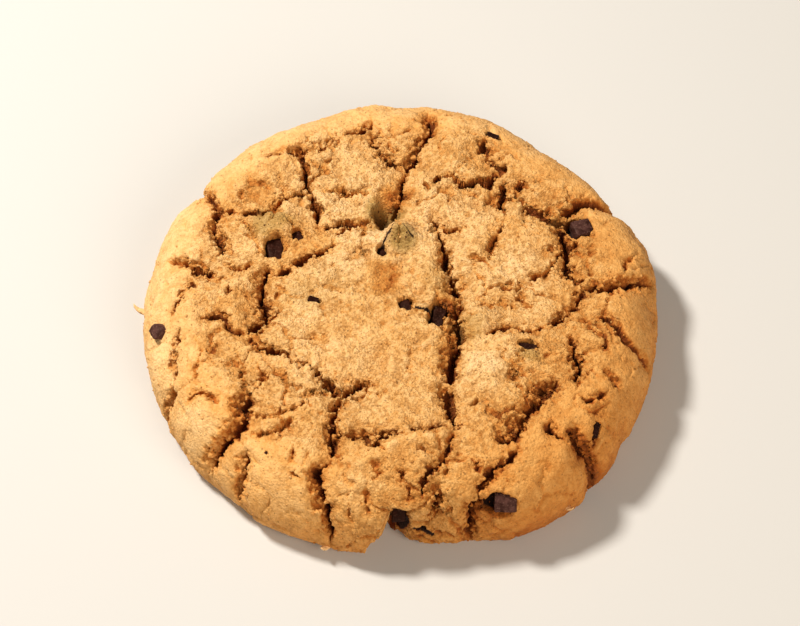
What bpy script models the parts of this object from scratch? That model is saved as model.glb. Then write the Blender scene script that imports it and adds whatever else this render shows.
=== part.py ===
"""Chocolate chip cookie: one round of baked dough with a cracked crust, and chocolate chunks set in it.

Metres, +Z up. The origin is on the table under the middle of the cookie, and the cookie lies flat.
Places on the crust are given on its skin, as if the skin were peeled off and laid flat: (u, v) is
measured in mm from the middle of the top, over the shoulder and down the side, u to +X and v to +Y.
"""

import math

import bmesh
import bpy
from mathutils import Matrix, Vector, noise

MM = 0.001

# The round of dough, before it cracks
MEAN_RADIUS = 43.8 * MM
CROWN_HEIGHT = 16.0 * MM
WAIST_HEIGHT = 5.0 * MM
SHOULDER_REACH = 9.0 * MM
FOOT_TUCK = 2.5 * MM
SKIN_CELLS = 33

# Where the outline leaves the circle: direction and half-width in degrees, rise in mm
OUTLINE_SWELLS = (
    (46, 16, -1.9),
    (15, 9, 0.9),
    (-53, 17, 1.7),
    (-80, 12, -1.0),
    (-120, 9, 0.5),
    (112, 12, -0.3),
)

# Humps and hollows of the crust: (u, v) and radius in mm, rise in mm
HUMPS = (
    (0.3, 11.0, 3.4, 1.7),
    (-22.0, 14.5, 4.2, 1.4),
    (12.0, -7.5, 2.6, 0.9),
    (4.5, -10.0, 5.0, 0.9),
    (14.0, -17.0, 6.0, 1.0),
    (2.0, -31.0, 4.5, 1.2),
    (21.5, -12.5, 2.4, 0.6),
    (-16.0, -24.0, 4.0, 0.8),
    (-18.0, 25.0, 5.0, 0.5),
    (23.0, 10.0, 5.5, 0.8),
    (-3.3, 3.2, 3.6, -1.0),
    (-24.5, 20.5, 3.0, -1.1),
    (-12.0, -3.0, 9.0, -0.5),
)
HOLLOW_CENTRE = (-2.7, 17.0)
HOLLOW_SIZE = (4.2 * MM, 8.0 * MM, 6.4 * MM)
FOOT_BITE_CENTRE = (-2.9 * MM, -43.5 * MM, 2.0 * MM)
FOOT_BITE_SIZE = (9.8 * MM, 14.0 * MM, 17.0 * MM)

# Cracks of the crust: width and depth in mm, then the (u, v) points that the crack runs through
CRACKS = {
    "middle_west": (1.7, 4.0, ((-22.5, 6), (-23.3, 1), (-22.5, -2.5), (-23, -5), (-25.5, -8.5))),
    "middle_south_west": (
        1.1,
        3.0,
        ((-25.5, -8.5), (-23.5, -11), (-20, -12), (-16, -14.8), (-12.5, -17), (-9.5, -21)),
    ),
    "middle_south": (1.6, 3.5, ((-9.5, -21), (-7.5, -19), (-3.5, -18.5))),
    "middle_east": (1.6, 4.5, ((5, 14.5), (7, 12), (8, 6), (10, -0.5), (9.6, -9))),
    "middle_south_east": (
        2.2,
        4.5,
        ((9.8, -8), (8.8, -14), (7.6, -18.5), (8.2, -22), (9.2, -25.7)),
    ),
    "middle_north_west": (
        0.9,
        2.5,
        ((-22.5, 3.5), (-18, 6), (-13.5, 7.5), (-11.3, 10.5), (-9.5, 14), (-4.5, 15)),
    ),
    "north": (1.7, 4.0, ((5, 41), (5.5, 33.5), (3, 30), (1, 25.5), (0, 20), (-1.5, 15))),
    "north_west": (
        1.3,
        3.5,
        ((-19, 29.5), (-17, 27), (-16, 22.5), (-15, 19), (-14, 16), (-13.6, 12.5)),
    ),
    "north_west_rim": (
        1.2,
        2.5,
        ((-24.5, 28.5), (-17, 28.8), (-12.5, 30.5), (-9.5, 33), (-5.5, 34.5), (-2.5, 28.5), (0.5, 26)),
    ),
    "north_west_plates": (
        1.0,
        2.5,
        ((-31, 16.5), (-24.5, 16), (-22, 16.6), (-20, 19), (-15.2, 19.7)),
    ),
    "west_rim_high": (
        2.0,
        3.0,
        ((-36, 25.5), (-34.5, 22), (-33, 19.3), (-31.6, 15.5), (-31.3, 11), (-30, 8.3)),
    ),
    "west_cross": (1.2, 2.5, ((-41, 7.5), (-38, 6.4), (-34, 4.8), (-31, 3))),
    "west_step": (1.1, 2.5, ((-31, 4.5), (-27, 4.7), (-24.8, 6.3))),
    "west_rim": (1.3, 2.5, ((-35, 3.5), (-36.5, 0.5), (-38.5, -3), (-39.6, -5.5))),
    "west_rim_low": (
        1.9,
        3.2,
        ((-37.5, -8), (-39, -12.5), (-39, -17.3), (-41, -19.2), (-44, -20.6), (-48, -22.5)),
    ),
    "west_plates": (1.0, 2.5, ((-34, -5), (-30, -5.2), (-28, -8), (-25.5, -8.3))),
    "south_west_scoop": (
        3.4,
        2.6,
        ((-24.8, -20.5), (-25.5, -25), (-28, -28.5), (-32, -31), (-36.5, -34.5)),
    ),
    "south_west_foot": (2.4, 2.4, ((-26.6, -31), (-26.8, -35), (-30, -39), (-31.5, -41.5))),
    "south_west_plates": (
        0.9,
        2.0,
        ((-22.5, -25), (-19.2, -24.4), (-16.7, -23.6), (-15, -21), (-10.5, -20.6)),
    ),
    "south": (
        1.7,
        4.0,
        ((-9.5, -21), (-10.5, -26), (-11.2, -33.5), (-14.2, -36), (-13.8, -40), (-13, -44), (-13.8, -50)),
    ),
    "south_cross": (
        1.4,
        3.2,
        ((-9.5, -29.3), (-6.5, -29.3), (-4, -30), (-1, -28.3), (3, -28), (8.5, -26.7)),
    ),
    "south_plates": (1.0, 2.5, ((8.5, -27), (8.1, -31), (6.8, -35), (4.7, -37), (3.4, -39.5))),
    "south_slit": (0.9, 2.0, ((6.3, -39), (6.4, -41.5), (5.7, -44.3))),
    "south_east_foot": (
        2.2,
        4.2,
        ((19.2, -31), (17, -34), (14.3, -38), (13, -42), (13.1, -46), (14.2, -51)),
    ),
    "south_east_diagonal": (
        2.8,
        3.0,
        ((26.4, -18), (24.2, -21.2), (22.4, -23.5), (20.3, -27), (18, -29.6), (14, -29.2)),
    ),
    "south_east_crevice": (
        3.4,
        4.0,
        ((26.6, -27), (29, -29), (31.5, -31), (34.6, -33.2), (38, -35.5), (42, -38.5)),
    ),
    "south_east_block": (1.2, 2.5, ((23.8, -26), (25.5, -28), (27.5, -29.8))),
    "east_inner": (1.3, 3.0, ((28.4, -8.5), (29.1, -13), (30.2, -15.3), (29, -18.6))),
    "east_low": (1.0, 2.2, ((33.5, -15.8), (36.5, -17), (38.2, -19.2))),
    "east_diagonal": (
        1.2,
        2.5,
        ((32.8, -4.7), (35.3, -6), (37.3, -8.3), (42, -10.8), (46.5, -12.5)),
    ),
    "east_rim": (1.9, 4.0, ((31, 0.8), (36, 1.1), (40, 2.5), (45.5, 6))),
    "east": (
        1.5,
        3.5,
        ((27, 12.5), (28.4, 8.7), (28.5, 4.5), (31, 0.8), (29, -3.7), (24.5, -6.8)),
    ),
    "east_low_cross": (1.1, 2.2, ((24.5, -6.8), (20.5, -8.5), (17, -7.8), (14.3, -9.2))),
    "east_cross": (0.9, 2.0, ((21.6, 2.7), (24.3, 4.4), (28.4, 5.2))),
    "north_east": (
        1.6,
        3.5,
        ((14.3, 32.2), (15, 29), (17, 25.5), (17.5, 22), (16.9, 17.5), (17.3, 14), (16, 11)),
    ),
    "north_east_cross": (1.2, 3.0, ((3.8, 22.8), (8, 23.4), (12.5, 22.4), (17, 25))),
    "north_east_step": (1.0, 2.5, ((6.5, 14), (8.5, 13.2), (11.8, 13.9))),
    "north_east_plates": (1.2, 2.5, ((20.5, 17.5), (22.5, 17.6), (24, 16.3), (27.5, 14.8))),
    "north_east_rim": (
        1.8,
        3.0,
        ((28, 14.8), (29, 17.2), (31, 19.2), (34, 20.4), (37, 21.8), (41, 24)),
    ),
}
CRACK_STEP = 3.0 * MM
CRACK_WANDER = 0.55 * MM
CRACK_FLARE = 1.5 * MM
CRACK_TIP_SHARE = 0.3
CRACK_FLOOR_SHARE = 0.3

# Chocolate chunks: (u, v) in mm, length, width and height in mm, turn and lean in degrees,
# and how far the top stands over the skin in mm
CHUNKS = {
    "chunk_north_west": ((-21.2, 8.3), (2.6, 3.5, 3.4), 12, 10, -0.9),
    "chunk_north_west_small": ((-17.6, 11.1), (2.0, 1.9, 2.6), 30, 0, -0.7),
    "chunk_middle_west": ((-14.5, -1.7), (1.7, 1.1, 2.2), -15, 0, -0.3),
    "chunk_under_hump": ((-3.0, 8.2), (1.2, 2.2, 2.4), -12, 0, -0.6),
    "chunk_middle": ((0.8, -2.8), (2.0, 1.7, 2.6), 20, 0, -0.3),
    "chunk_middle_east": ((6.5, -5.0), (2.2, 3.8, 3.6), -18, 12, -0.4),
    "chunk_north_east": ((30.6, 12.9), (3.9, 3.6, 3.8), 20, 8, 0.9),
    "chunk_west_rim": ((-42.2, -7.0), (2.9, 2.7, 3.0), 35, 0, 0.6),
    "chunk_south_east": ((17.8, -41.3), (3.5, 3.4, 3.6), 3, -26, -0.3),
    "chunk_south": ((-0.4, -45.0), (2.4, 3.4, 3.0), 4, 0, -0.9),
    "chunk_south_low": ((4.6, -47.6), (3.2, 1.4, 2.6), -18, 0, -0.5),
    "chunk_east": ((21.2, -11.3), (2.9, 1.6, 2.6), -10, 10, -0.2),
    "chunk_north_rim": ((16.6, 32.4), (2.4, 1.1, 2.2), -15, 0, -0.2),
    "chunk_south_east_rim": ((33.6, -27.0), (1.2, 2.6, 2.4), -5, 0, -0.2),
    "chunk_south_west": ((-22.2, -32.1), (1.3, 1.1, 1.8), 25, 0, -0.1),
}
CHUNK_BEVEL_SHARE = 0.13
CHUNK_ROUGHNESS = 0.07
POCKET_GAP = 0.32 * MM
POCKET_MOUTH = 6.0 * MM
POCKET_FLARE = 1.12


def outline_radius(direction):
    """Half-width of the cookie at its waist, in a direction in radians."""
    radius = MEAN_RADIUS
    for swell_direction, half_width, rise in OUTLINE_SWELLS:
        away = math.remainder(direction - math.radians(swell_direction), math.tau)
        radius += rise * MM * math.exp(-((away / math.radians(half_width)) ** 2))
    return radius


def quarter_ellipse_length(a, b):
    """Ramanujan's length of a quarter of an ellipse with half-axes a and b."""
    h = ((a - b) / (a + b)) ** 2
    return math.pi * (a + b) * (1 + 3 * h / (10 + math.sqrt(4 - 3 * h))) / 4


SHOULDER_DROP = CROWN_HEIGHT - WAIST_HEIGHT
SHOULDER_LENGTH = quarter_ellipse_length(SHOULDER_REACH, SHOULDER_DROP)
FOOT_LENGTH = quarter_ellipse_length(FOOT_TUCK, WAIST_HEIGHT)


def skin_radius(direction):
    """Length of the skin from the middle of the top to the foot, in a direction in radians."""
    return outline_radius(direction) - SHOULDER_REACH + SHOULDER_LENGTH + FOOT_LENGTH


def skin_point(u, v, lift=0.0):
    """The point of the smooth skin at (u, v), moved out along its normal by lift."""
    reach = math.hypot(u, v)
    direction = math.atan2(v, u)
    edge = outline_radius(direction) - SHOULDER_REACH
    if reach <= edge:
        across, height, out, up = reach, CROWN_HEIGHT, 0.0, 1.0
    elif reach <= edge + SHOULDER_LENGTH:
        turn = (reach - edge) / SHOULDER_LENGTH * math.pi / 2
        across = edge + SHOULDER_REACH * math.sin(turn)
        height = WAIST_HEIGHT + SHOULDER_DROP * math.cos(turn)
        out, up = math.sin(turn) / SHOULDER_REACH, math.cos(turn) / SHOULDER_DROP
    else:
        turn = min((reach - edge - SHOULDER_LENGTH) / FOOT_LENGTH, 1.0) * math.pi / 2
        across = edge + SHOULDER_REACH - FOOT_TUCK * (1 - math.cos(turn))
        height = WAIST_HEIGHT * (1 - math.sin(turn))
        out, up = math.cos(turn) / FOOT_TUCK, -math.sin(turn) / WAIST_HEIGHT
    along = Vector((math.cos(direction), math.sin(direction), 0.0))
    normal = (along * out + Vector((0.0, 0.0, up))).normalized()
    return along * across + Vector((0.0, 0.0, height)) + normal * lift


def skin_frame(u, v):
    """A frame on the skin at (u, v): its Z is the normal and its X runs with +u."""
    origin = skin_point(u, v)
    normal = (skin_point(u, v, MM) - origin).normalized()
    side = (skin_point(u + 0.1 * MM, v) - origin).normalized()
    ahead = normal.cross(side).normalized()
    frame = Matrix((ahead.cross(normal), ahead, normal)).transposed().to_4x4()
    frame.translation = origin
    return frame


def relief(u, v):
    """Rise of the crust over the smooth skin, from its humps, hollows and unevenness."""
    rise = 0.0
    for hump_u, hump_v, radius, height in HUMPS:
        away = math.hypot(u / MM - hump_u, v / MM - hump_v) / radius
        rise += height * math.exp(-away * away)
    rise += 0.5 * noise.noise(Vector((u, v, 0.0)) / (9 * MM))
    rise += 0.3 * noise.noise(Vector((u, v, 0.01)) / (4 * MM))
    return rise * MM


def square_to_disc(x, y):
    """Moves a point of the square from -1 to 1 to the unit disc, with even cells."""
    if abs(x) < 1e-9 and abs(y) < 1e-9:
        return 0.0, 0.0
    if abs(x) >= abs(y):
        reach, direction = x, math.pi / 4 * y / x
    else:
        reach, direction = y, math.pi / 2 - math.pi / 4 * x / y
    return reach * math.cos(direction), reach * math.sin(direction)


def material(name, colour, roughness):
    made = bpy.data.materials.new(name)
    made.use_nodes = True
    shader = made.node_tree.nodes["Principled BSDF"]
    shader.inputs["Base Color"].default_value = (*colour, 1.0)
    shader.inputs["Roughness"].default_value = roughness
    shader.inputs["Metallic"].default_value = 0.0
    made.diffuse_color = (*colour, 1.0)
    return made


def add_object(name, mesh_edit, finish=None):
    mesh = bpy.data.meshes.new(name)
    mesh_edit.to_mesh(mesh)
    mesh_edit.free()
    if finish:
        mesh.materials.append(finish)
        mesh.set_sharp_from_angle(angle=math.radians(40))
    made = bpy.data.objects.new(name, mesh)
    bpy.context.scene.collection.objects.link(made)
    return made


def add_cutter(name, mesh_edit, cutters):
    bmesh.ops.recalc_face_normals(mesh_edit, faces=mesh_edit.faces)
    cutter = add_object(name, mesh_edit)
    cutter.hide_render = True
    cutter.display_type = "WIRE"
    bpy.context.scene.collection.objects.unlink(cutter)
    cutters.objects.link(cutter)


def add_dough(finish):
    """A square sheet of dough wrapped over the round, closed by the flat base that it baked on."""
    sheet = bmesh.new()
    bmesh.ops.create_grid(sheet, x_segments=SKIN_CELLS, y_segments=SKIN_CELLS, size=1.0)
    for vertex in sheet.verts:
        x, y = square_to_disc(vertex.co.x, vertex.co.y)
        reach = math.hypot(x, y)
        length = skin_radius(math.atan2(y, x))
        u, v = x * length, y * length
        fade = 1 - reach**8
        vertex.co = skin_point(u, v, relief(u, v) * fade)
        if vertex.is_boundary:
            vertex.co.z = 0.0
    foot = [edge for edge in sheet.edges if edge.is_boundary]
    bmesh.ops.contextual_create(sheet, geom=foot)
    bmesh.ops.recalc_face_normals(sheet, faces=sheet.faces)
    return add_object("dough", sheet, finish)


def wandering_route(route, name):
    """Even steps along a crack's route, each moved aside a little, as a torn edge is."""
    corners = [Vector((u * MM, v * MM)) for u, v in route]
    seed = sum(ord(letter) for letter in name)
    points = []
    for number in range(len(corners) - 1):
        before = corners[max(number - 1, 0)]
        start, end = corners[number], corners[number + 1]
        after = corners[min(number + 2, len(corners) - 1)]
        steps = max(1, round((end - start).length / CRACK_STEP))
        for step in range(steps):
            t = step / steps
            smooth = (
                2 * start
                + (end - before) * t
                + (2 * before - 5 * start + 4 * end - after) * t**2
                + (3 * start - before - 3 * end + after) * t**3
            ) / 2
            points.append(smooth)
    points.append(corners[-1])
    for number in range(1, len(points) - 1):
        along = (points[number + 1] - points[number - 1]).normalized()
        aside = Vector((-along.y, along.x))
        shift = noise.noise(Vector((seed, number * 1.7, 0.5))) * CRACK_WANDER * 2
        points[number] = points[number] + aside * shift
    return points


def add_crack(name, width, depth, route, cutters):
    """A wedge that runs along the crack, narrow and shallow at its two tips."""
    points = wandering_route(route, name)
    wedge = bmesh.new()
    last = len(points) - 1
    rings = []
    for number, point in enumerate(points):
        ahead = points[min(number + 1, last)] - points[max(number - 1, 0)]
        aside = Vector((-ahead.y, ahead.x)).normalized()
        from_tip = min(number, last - number) / max(last / 2, 1)
        share = CRACK_TIP_SHARE + (1 - CRACK_TIP_SHARE) * min(1.0, 2 * from_tip)
        half = width * MM / 2 * share
        deep = depth * MM * share
        flared = half * (1 + CRACK_FLARE / deep)
        corners = (
            (aside * flared, CRACK_FLARE),
            (aside * -flared, CRACK_FLARE),
            (aside * -half * CRACK_FLOOR_SHARE, -deep),
            (aside * half * CRACK_FLOOR_SHARE, -deep),
        )
        rings.append(
            [wedge.verts.new(skin_point(point.x + move.x, point.y + move.y, lift)) for move, lift in corners]
        )
    for ring, following in zip(rings, rings[1:]):
        for side in range(4):
            beside = (side + 1) % 4
            wedge.faces.new((ring[side], ring[beside], following[beside], following[side]))
    wedge.faces.new(rings[0])
    wedge.faces.new(rings[-1])
    add_cutter("crack_" + name, wedge, cutters)


def add_ellipsoid_cutter(name, centre, size, cutters):
    ball = bmesh.new()
    bmesh.ops.create_icosphere(ball, subdivisions=2, radius=0.5)
    bmesh.ops.transform(ball, matrix=centre @ Matrix.Diagonal((*size, 1.0)), verts=ball.verts)
    add_cutter(name, ball, cutters)


def chunk_place(spot, size, turn, lean, stand):
    """Where a chunk sits: its middle, turned and leaned, so that its top stands over the skin."""
    drop = Matrix.Translation((0.0, 0.0, (stand - size[2] / 2) * MM))
    turned = Matrix.Rotation(math.radians(turn), 4, "Z")
    leaned = Matrix.Rotation(math.radians(lean), 4, "X")
    return skin_frame(spot[0] * MM, spot[1] * MM) @ drop @ turned @ leaned


def chunk_shape(name, size, bevel_segments):
    """A block of broken chocolate about the origin: its corners are uneven and its edges are soft."""
    block = bmesh.new()
    bmesh.ops.create_cube(block, size=1.0)
    seed = sum(ord(letter) for letter in name)
    for number, vertex in enumerate(block.verts):
        for axis in range(3):
            shift = noise.noise(Vector((seed + 0.4, number * 3.1, axis * 5.3 + 0.7)))
            vertex.co[axis] += shift * CHUNK_ROUGHNESS * 2
        vertex.co.x *= size[0] * MM
        vertex.co.y *= size[1] * MM
        vertex.co.z *= size[2] * MM
    bmesh.ops.bevel(
        block,
        geom=block.edges,
        offset=min(size) * CHUNK_BEVEL_SHARE * MM,
        affect="EDGES",
        segments=bevel_segments,
        profile=0.5,
        material=-1,
    )
    bmesh.ops.recalc_face_normals(block, faces=block.faces)
    return block


def add_chunk(name, spot, size, turn, lean, stand, finish, cutters):
    place = chunk_place(spot, size, turn, lean, stand)
    block = chunk_shape(name, size, bevel_segments=2)
    bmesh.ops.transform(block, matrix=place, verts=block.verts)

    upward = (place.inverted() @ skin_frame(spot[0] * MM, spot[1] * MM)).to_3x3().col[2]
    pocket = bmesh.new()
    model = chunk_shape(name, size, bevel_segments=1)
    for vertex in model.verts:
        grown = vertex.co + vertex.co.normalized() * POCKET_GAP * 1.6
        pocket.verts.new(place @ grown)
        pocket.verts.new(place @ (grown * POCKET_FLARE + upward * POCKET_MOUTH))
    model.free()
    hull = bmesh.ops.convex_hull(pocket, input=pocket.verts)
    bmesh.ops.delete(pocket, geom=hull["geom_interior"], context="VERTS")
    bmesh.ops.dissolve_limit(pocket, angle_limit=math.radians(6), verts=pocket.verts, edges=pocket.edges)
    add_cutter("pocket_" + name, pocket, cutters)
    return add_object(name, block, finish)


def build():
    for old in list(bpy.data.objects):
        bpy.data.objects.remove(old)
    baked = material("baked_dough", (0.62, 0.31, 0.10), 0.85)
    chocolate = material("dark_chocolate", (0.045, 0.018, 0.011), 0.45)

    cutters = bpy.data.collections.new("cutters")
    bpy.context.scene.collection.children.link(cutters)
    cutters.hide_render = True
    dough = add_dough(baked)
    for name, (width, depth, route) in CRACKS.items():
        add_crack(name, width, depth, route, cutters)
    hollow_frame = skin_frame(HOLLOW_CENTRE[0] * MM, HOLLOW_CENTRE[1] * MM)
    add_ellipsoid_cutter("hollow", hollow_frame, HOLLOW_SIZE, cutters)
    add_ellipsoid_cutter("foot_bite", Matrix.Translation(FOOT_BITE_CENTRE), FOOT_BITE_SIZE, cutters)
    for name, (spot, size, turn, lean, stand) in CHUNKS.items():
        add_chunk(name, spot, size, turn, lean, stand, chocolate, cutters)

    cut = dough.modifiers.new("cracks_and_pockets", "BOOLEAN")
    cut.operation = "DIFFERENCE"
    cut.operand_type = "COLLECTION"
    cut.collection = cutters
    cut.solver = "EXACT"


build()
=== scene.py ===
import math

import bmesh
import bpy
import numpy as np
from mathutils import Matrix, Vector


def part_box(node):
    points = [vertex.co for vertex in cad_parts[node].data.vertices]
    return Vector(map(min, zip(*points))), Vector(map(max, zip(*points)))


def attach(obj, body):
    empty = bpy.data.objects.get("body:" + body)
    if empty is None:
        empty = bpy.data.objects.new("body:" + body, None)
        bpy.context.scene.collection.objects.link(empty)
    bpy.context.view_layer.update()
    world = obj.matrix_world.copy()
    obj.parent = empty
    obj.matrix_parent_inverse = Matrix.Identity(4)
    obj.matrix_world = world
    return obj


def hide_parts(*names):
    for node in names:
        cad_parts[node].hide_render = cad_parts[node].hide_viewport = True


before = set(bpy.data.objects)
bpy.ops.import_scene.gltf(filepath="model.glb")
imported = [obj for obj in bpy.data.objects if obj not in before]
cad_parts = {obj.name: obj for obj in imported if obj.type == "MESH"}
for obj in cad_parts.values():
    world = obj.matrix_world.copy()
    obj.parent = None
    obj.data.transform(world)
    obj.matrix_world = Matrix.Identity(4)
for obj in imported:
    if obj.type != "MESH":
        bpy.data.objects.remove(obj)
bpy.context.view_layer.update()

# The dough: one round of cookie dough that spread and domed as it baked, until its crust tore into
# plates. Sizes here are in mm on a cookie 87.8 mm wide, and the frame's width scales them.
# Places are (u, v) on its skin laid flat, from the middle of the top down over the edge to the foot.
dough_low, dough_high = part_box("dough")
MM = (dough_high.x - dough_low.x) / 87.8
MEAN_RADIUS = 43.8
CROWN_HEIGHT = 16.0
WAIST_HEIGHT = 5.0
SHOULDER_REACH = 9.0
FOOT_TUCK = 2.5
OUTLINE_SWELLS = (
    (46, 16, -1.9),
    (15, 9, 0.9),
    (-53, 17, 1.7),
    (-80, 12, -1.0),
    (-120, 9, 0.5),
    (112, 12, -0.3),
)
# The crust is meshed finely, then thinned to this many triangles; the care keeps more of them at the
# cracks than on the plates
SHEET_CELLS = 640
DOUGH_TRIANGLES = 192000
EDGE_CARE = 1.2e-4


def outline_radius(direction):
    """Half-width at the waist, in mm, in directions in radians."""
    radius = np.full_like(direction, MEAN_RADIUS)
    for swell_direction, half_width, rise in OUTLINE_SWELLS:
        away = np.remainder(direction - math.radians(swell_direction) + math.pi, math.tau) - math.pi
        radius += rise * np.exp(-((away / math.radians(half_width)) ** 2))
    return radius


def quarter_ellipse_length(a, b):
    """Ramanujan's length of a quarter of an ellipse with half-axes a and b."""
    h = ((a - b) / (a + b)) ** 2
    return math.pi * (a + b) * (1 + 3 * h / (10 + math.sqrt(4 - 3 * h))) / 4


SHOULDER_DROP = CROWN_HEIGHT - WAIST_HEIGHT
SHOULDER_LENGTH = quarter_ellipse_length(SHOULDER_REACH, SHOULDER_DROP)
FOOT_LENGTH = quarter_ellipse_length(FOOT_TUCK, WAIST_HEIGHT)


def skin(u, v):
    """Points of the smooth skin at (u, v) and its normals there, all in mm."""
    reach = np.hypot(u, v)
    direction = np.arctan2(v, u)
    edge = outline_radius(direction) - SHOULDER_REACH
    shoulder = np.clip((reach - edge) / SHOULDER_LENGTH, 0, 1) * math.pi / 2
    foot = np.clip((reach - edge - SHOULDER_LENGTH) / FOOT_LENGTH, 0, 1) * math.pi / 2
    across = np.minimum(reach, edge) + SHOULDER_REACH * np.sin(shoulder) - FOOT_TUCK * (1 - np.cos(foot))
    height = WAIST_HEIGHT + SHOULDER_DROP * np.cos(shoulder) - WAIST_HEIGHT * np.sin(foot)
    out = np.where(foot > 0, np.cos(foot) / FOOT_TUCK, np.sin(shoulder) / SHOULDER_REACH)
    up = np.where(foot > 0, -np.sin(foot) / WAIST_HEIGHT, np.cos(shoulder) / SHOULDER_DROP)
    steepness = np.hypot(out, up)
    out, up = out / steepness, up / steepness
    towards = np.stack((np.cos(direction), np.sin(direction)), -1)
    points = np.column_stack((towards * across[:, None], height))
    normals = np.column_stack((towards * out[:, None], up))
    return points, normals


def scatter(seed, *cell):
    """Even random numbers from 0 to 1, one for each cell of a lattice of whole numbers."""
    mixed = seed * 50331653
    for place, stride in zip(cell, (73856093, 19349663, 83492791)):
        mixed = mixed ^ (place * stride)
    mixed = (mixed ^ (mixed >> 13)) * 1274126177 & 0xFFFFFFFF
    mixed = (mixed ^ (mixed >> 15)) * 668265263 & 0xFFFFFFFF
    return ((mixed ^ (mixed >> 16)) & 0xFFFFFF) / 0xFFFFFF


def waves(u, v, size, seed):
    """Smooth noise from -1 to 1 whose lumps are about this size in mm."""
    column, row = np.floor(u / size).astype(np.int64), np.floor(v / size).astype(np.int64)
    right, up = u / size - column, v / size - row
    right, up = right**2 * (3 - 2 * right), up**2 * (3 - 2 * up)
    lower = scatter(seed, column, row) * (1 - right) + scatter(seed, column + 1, row) * right
    upper = scatter(seed, column, row + 1) * (1 - right) + scatter(seed, column + 1, row + 1) * right
    return 2 * (lower * (1 - up) + upper * up) - 1


def grains(places, size, seed):
    """Domes of many sizes up to this width in mm round scattered points, from 0 between them to 1."""
    scaled = (places / size).T
    corner = np.floor(scaled).astype(np.int64)
    tallest = np.zeros(len(places))
    for step in np.ndindex(3, 3, 3):
        cell = [axis + move - 1 for axis, move in zip(corner, step)]
        away = sum(
            (low + scatter(seed + number, *cell) - place) ** 2
            for number, (low, place) in enumerate(zip(cell, scaled))
        )
        breadth = 0.4 + 0.5 * scatter(seed + 3, *cell)
        tallest = np.maximum(tallest, breadth - away / breadth)
    return tallest


def ease(low, high, values):
    """0 below low, 1 above high and a smooth step between them."""
    t = np.clip((values - low) / (high - low), 0, 1)
    return t * t * (3 - 2 * t)


# The humps and hollows of the whole crust: where, how wide and how high, with the lumps of dough over
# buried chocolate among them; and the deep hollow behind the highest hump, as its middle, half-width,
# half-length and depth
HUMPS = (
    (-0.2, 11.8, 2.2, 2.9),
    (0.1, 10.1, 3.1, 1.3),
    (-0.8, 10, 5.5, 0.5),
    (5.6, 3.5, 2.6, 0.6),
    (5.8, -13, 2.4, 0.4),
    (-21.8, 13.7, 3.3, 1.8),
    (12, -7.4, 2.7, 1),
    (4.5, -10, 5, 0.8),
    (14, -18, 6.5, 1.1),
    (2, -32, 5, 1.2),
    (21.5, -12.5, 2.4, 0.5),
    (-16, -25, 4, 0.7),
    (-18, 25, 5, 0.5),
    (23, 10, 5.5, 0.7),
    (-7.5, -13.2, 2.8, 0.5),
    (-14, -22.6, 2.2, 0.4),
    (-3.4, 2.8, 3.4, -0.8),
    (-24, 20.2, 2.8, -0.7),
    (-12, -3, 9, -0.5),
    (-35, -26, 5, 0.5),
    (24, -35, 8, 0.6),
)
HOLLOW = (-2.8, 16.6, 2.2, 4.6, 3.6)
# The broad valleys between the plates, coloured browner, partly browning and partly painted shade, and
# after them the ridges of curled edges: half-width, depth and how much browner, and the points that each
# runs through
VALLEYS = (
    (2.5, 0.7, 0.85, ((-13, 12), (-16, 9.5), (-20, 6), (-23, 2.5), (-24.6, -1), (-25, -5), (-26, -8))),
    (2.6, 0.9, 0.9, ((0.8, 26.5), (0.3, 22), (-0.8, 18), (-2, 13.5))),
    (1.7, 0.6, 0.7, ((8.4, 0.5), (8.5, -4), (8.6, -9), (8.8, -14))),
    (2, 0.4, 0.5, ((-6, -18.3), (-4, -18.6))),
    (2.2, 0.5, 0.8, ((-11.2, -31), (-11.8, -34.5), (-13.6, -38))),
    (2.6, 0.5, 0.7, ((-5, -42), (-1.5, -40.5), (2.5, -41))),
    (2.2, 0.5, 0.8, ((16.5, -36), (14.5, -39), (14, -44))),
    (1.6, 0.4, 0.6, ((-30, 16.6), (-26, 16), (-22.5, 16.6))),
    (1.8, 0.5, 0.7, ((-25.5, -22), (-28.5, -28.5), (-32.5, -31.5))),
    (1.7, 0.4, 0.5, ((25, -19.5), (21, -25), (17.5, -30))),
    (2, 0.5, 0.9, ((30, -29.5), (34, -33), (38, -36))),
    (1.5, 0.3, 0.5, ((-28.2, -33), (-28.4, -36), (-30, -39))),
    (1.3, 0.2, 0.5, ((-38.6, 4.7), (-35, 4.2), (-36, -1), (-39, -6))),
    (0.7, 0.2, 0.3, ((-2.4, -33.3), (-1, -32.7), (2, -32), (5, -31.3), (7.4, -30.4))),
    (1.1, -1, 0, ((-2.6, -31.9), (-1.2, -31.2), (1.5, -30.5), (4.5, -29.8), (7.6, -28.7))),
    (2, 0.35, 0.4, ((-3.3, 1), (-2.8, -6), (-3.2, -12), (-4.8, -17))),
    (2.4, 0.2, 0.6, ((-14.2, 11.6), (-16.8, 8.6))),
    (0.9, -0.7, 0, ((-24.5, 26.6), (-20, 27.2), (-16.4, 27.6))),
    (0.9, -0.7, 0, ((-21.4, -25.6), (-18.4, -25.2), (-15.8, -24.4))),
)
# The hollow in the front of the foot: its middle and size, how it leans to the right as it rises, how
# much farther it goes in at the bottom, and where the ledge left in its right half starts and how high
# that stands. Then how far the front of the foot draws back, from left to right.
FOOT_BITE_CENTRE = (-2.9, -43.5, 2.0)
FOOT_BITE_SIZE = (6.3, 14.0, 17.0)
FOOT_BITE_LEAN = 0.44
FOOT_BITE_UNDERCUT = 2.4
FOOT_LEDGE = (2.1, 2.7)
FOOT_DRAW = ((-3, 0), (-1.6, 4.2), (-0.4, 4.2), (0.8, 2.9), (1.9, 2.1), (5.4, 1.7), (12, 0.6), (15, 0))

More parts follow.
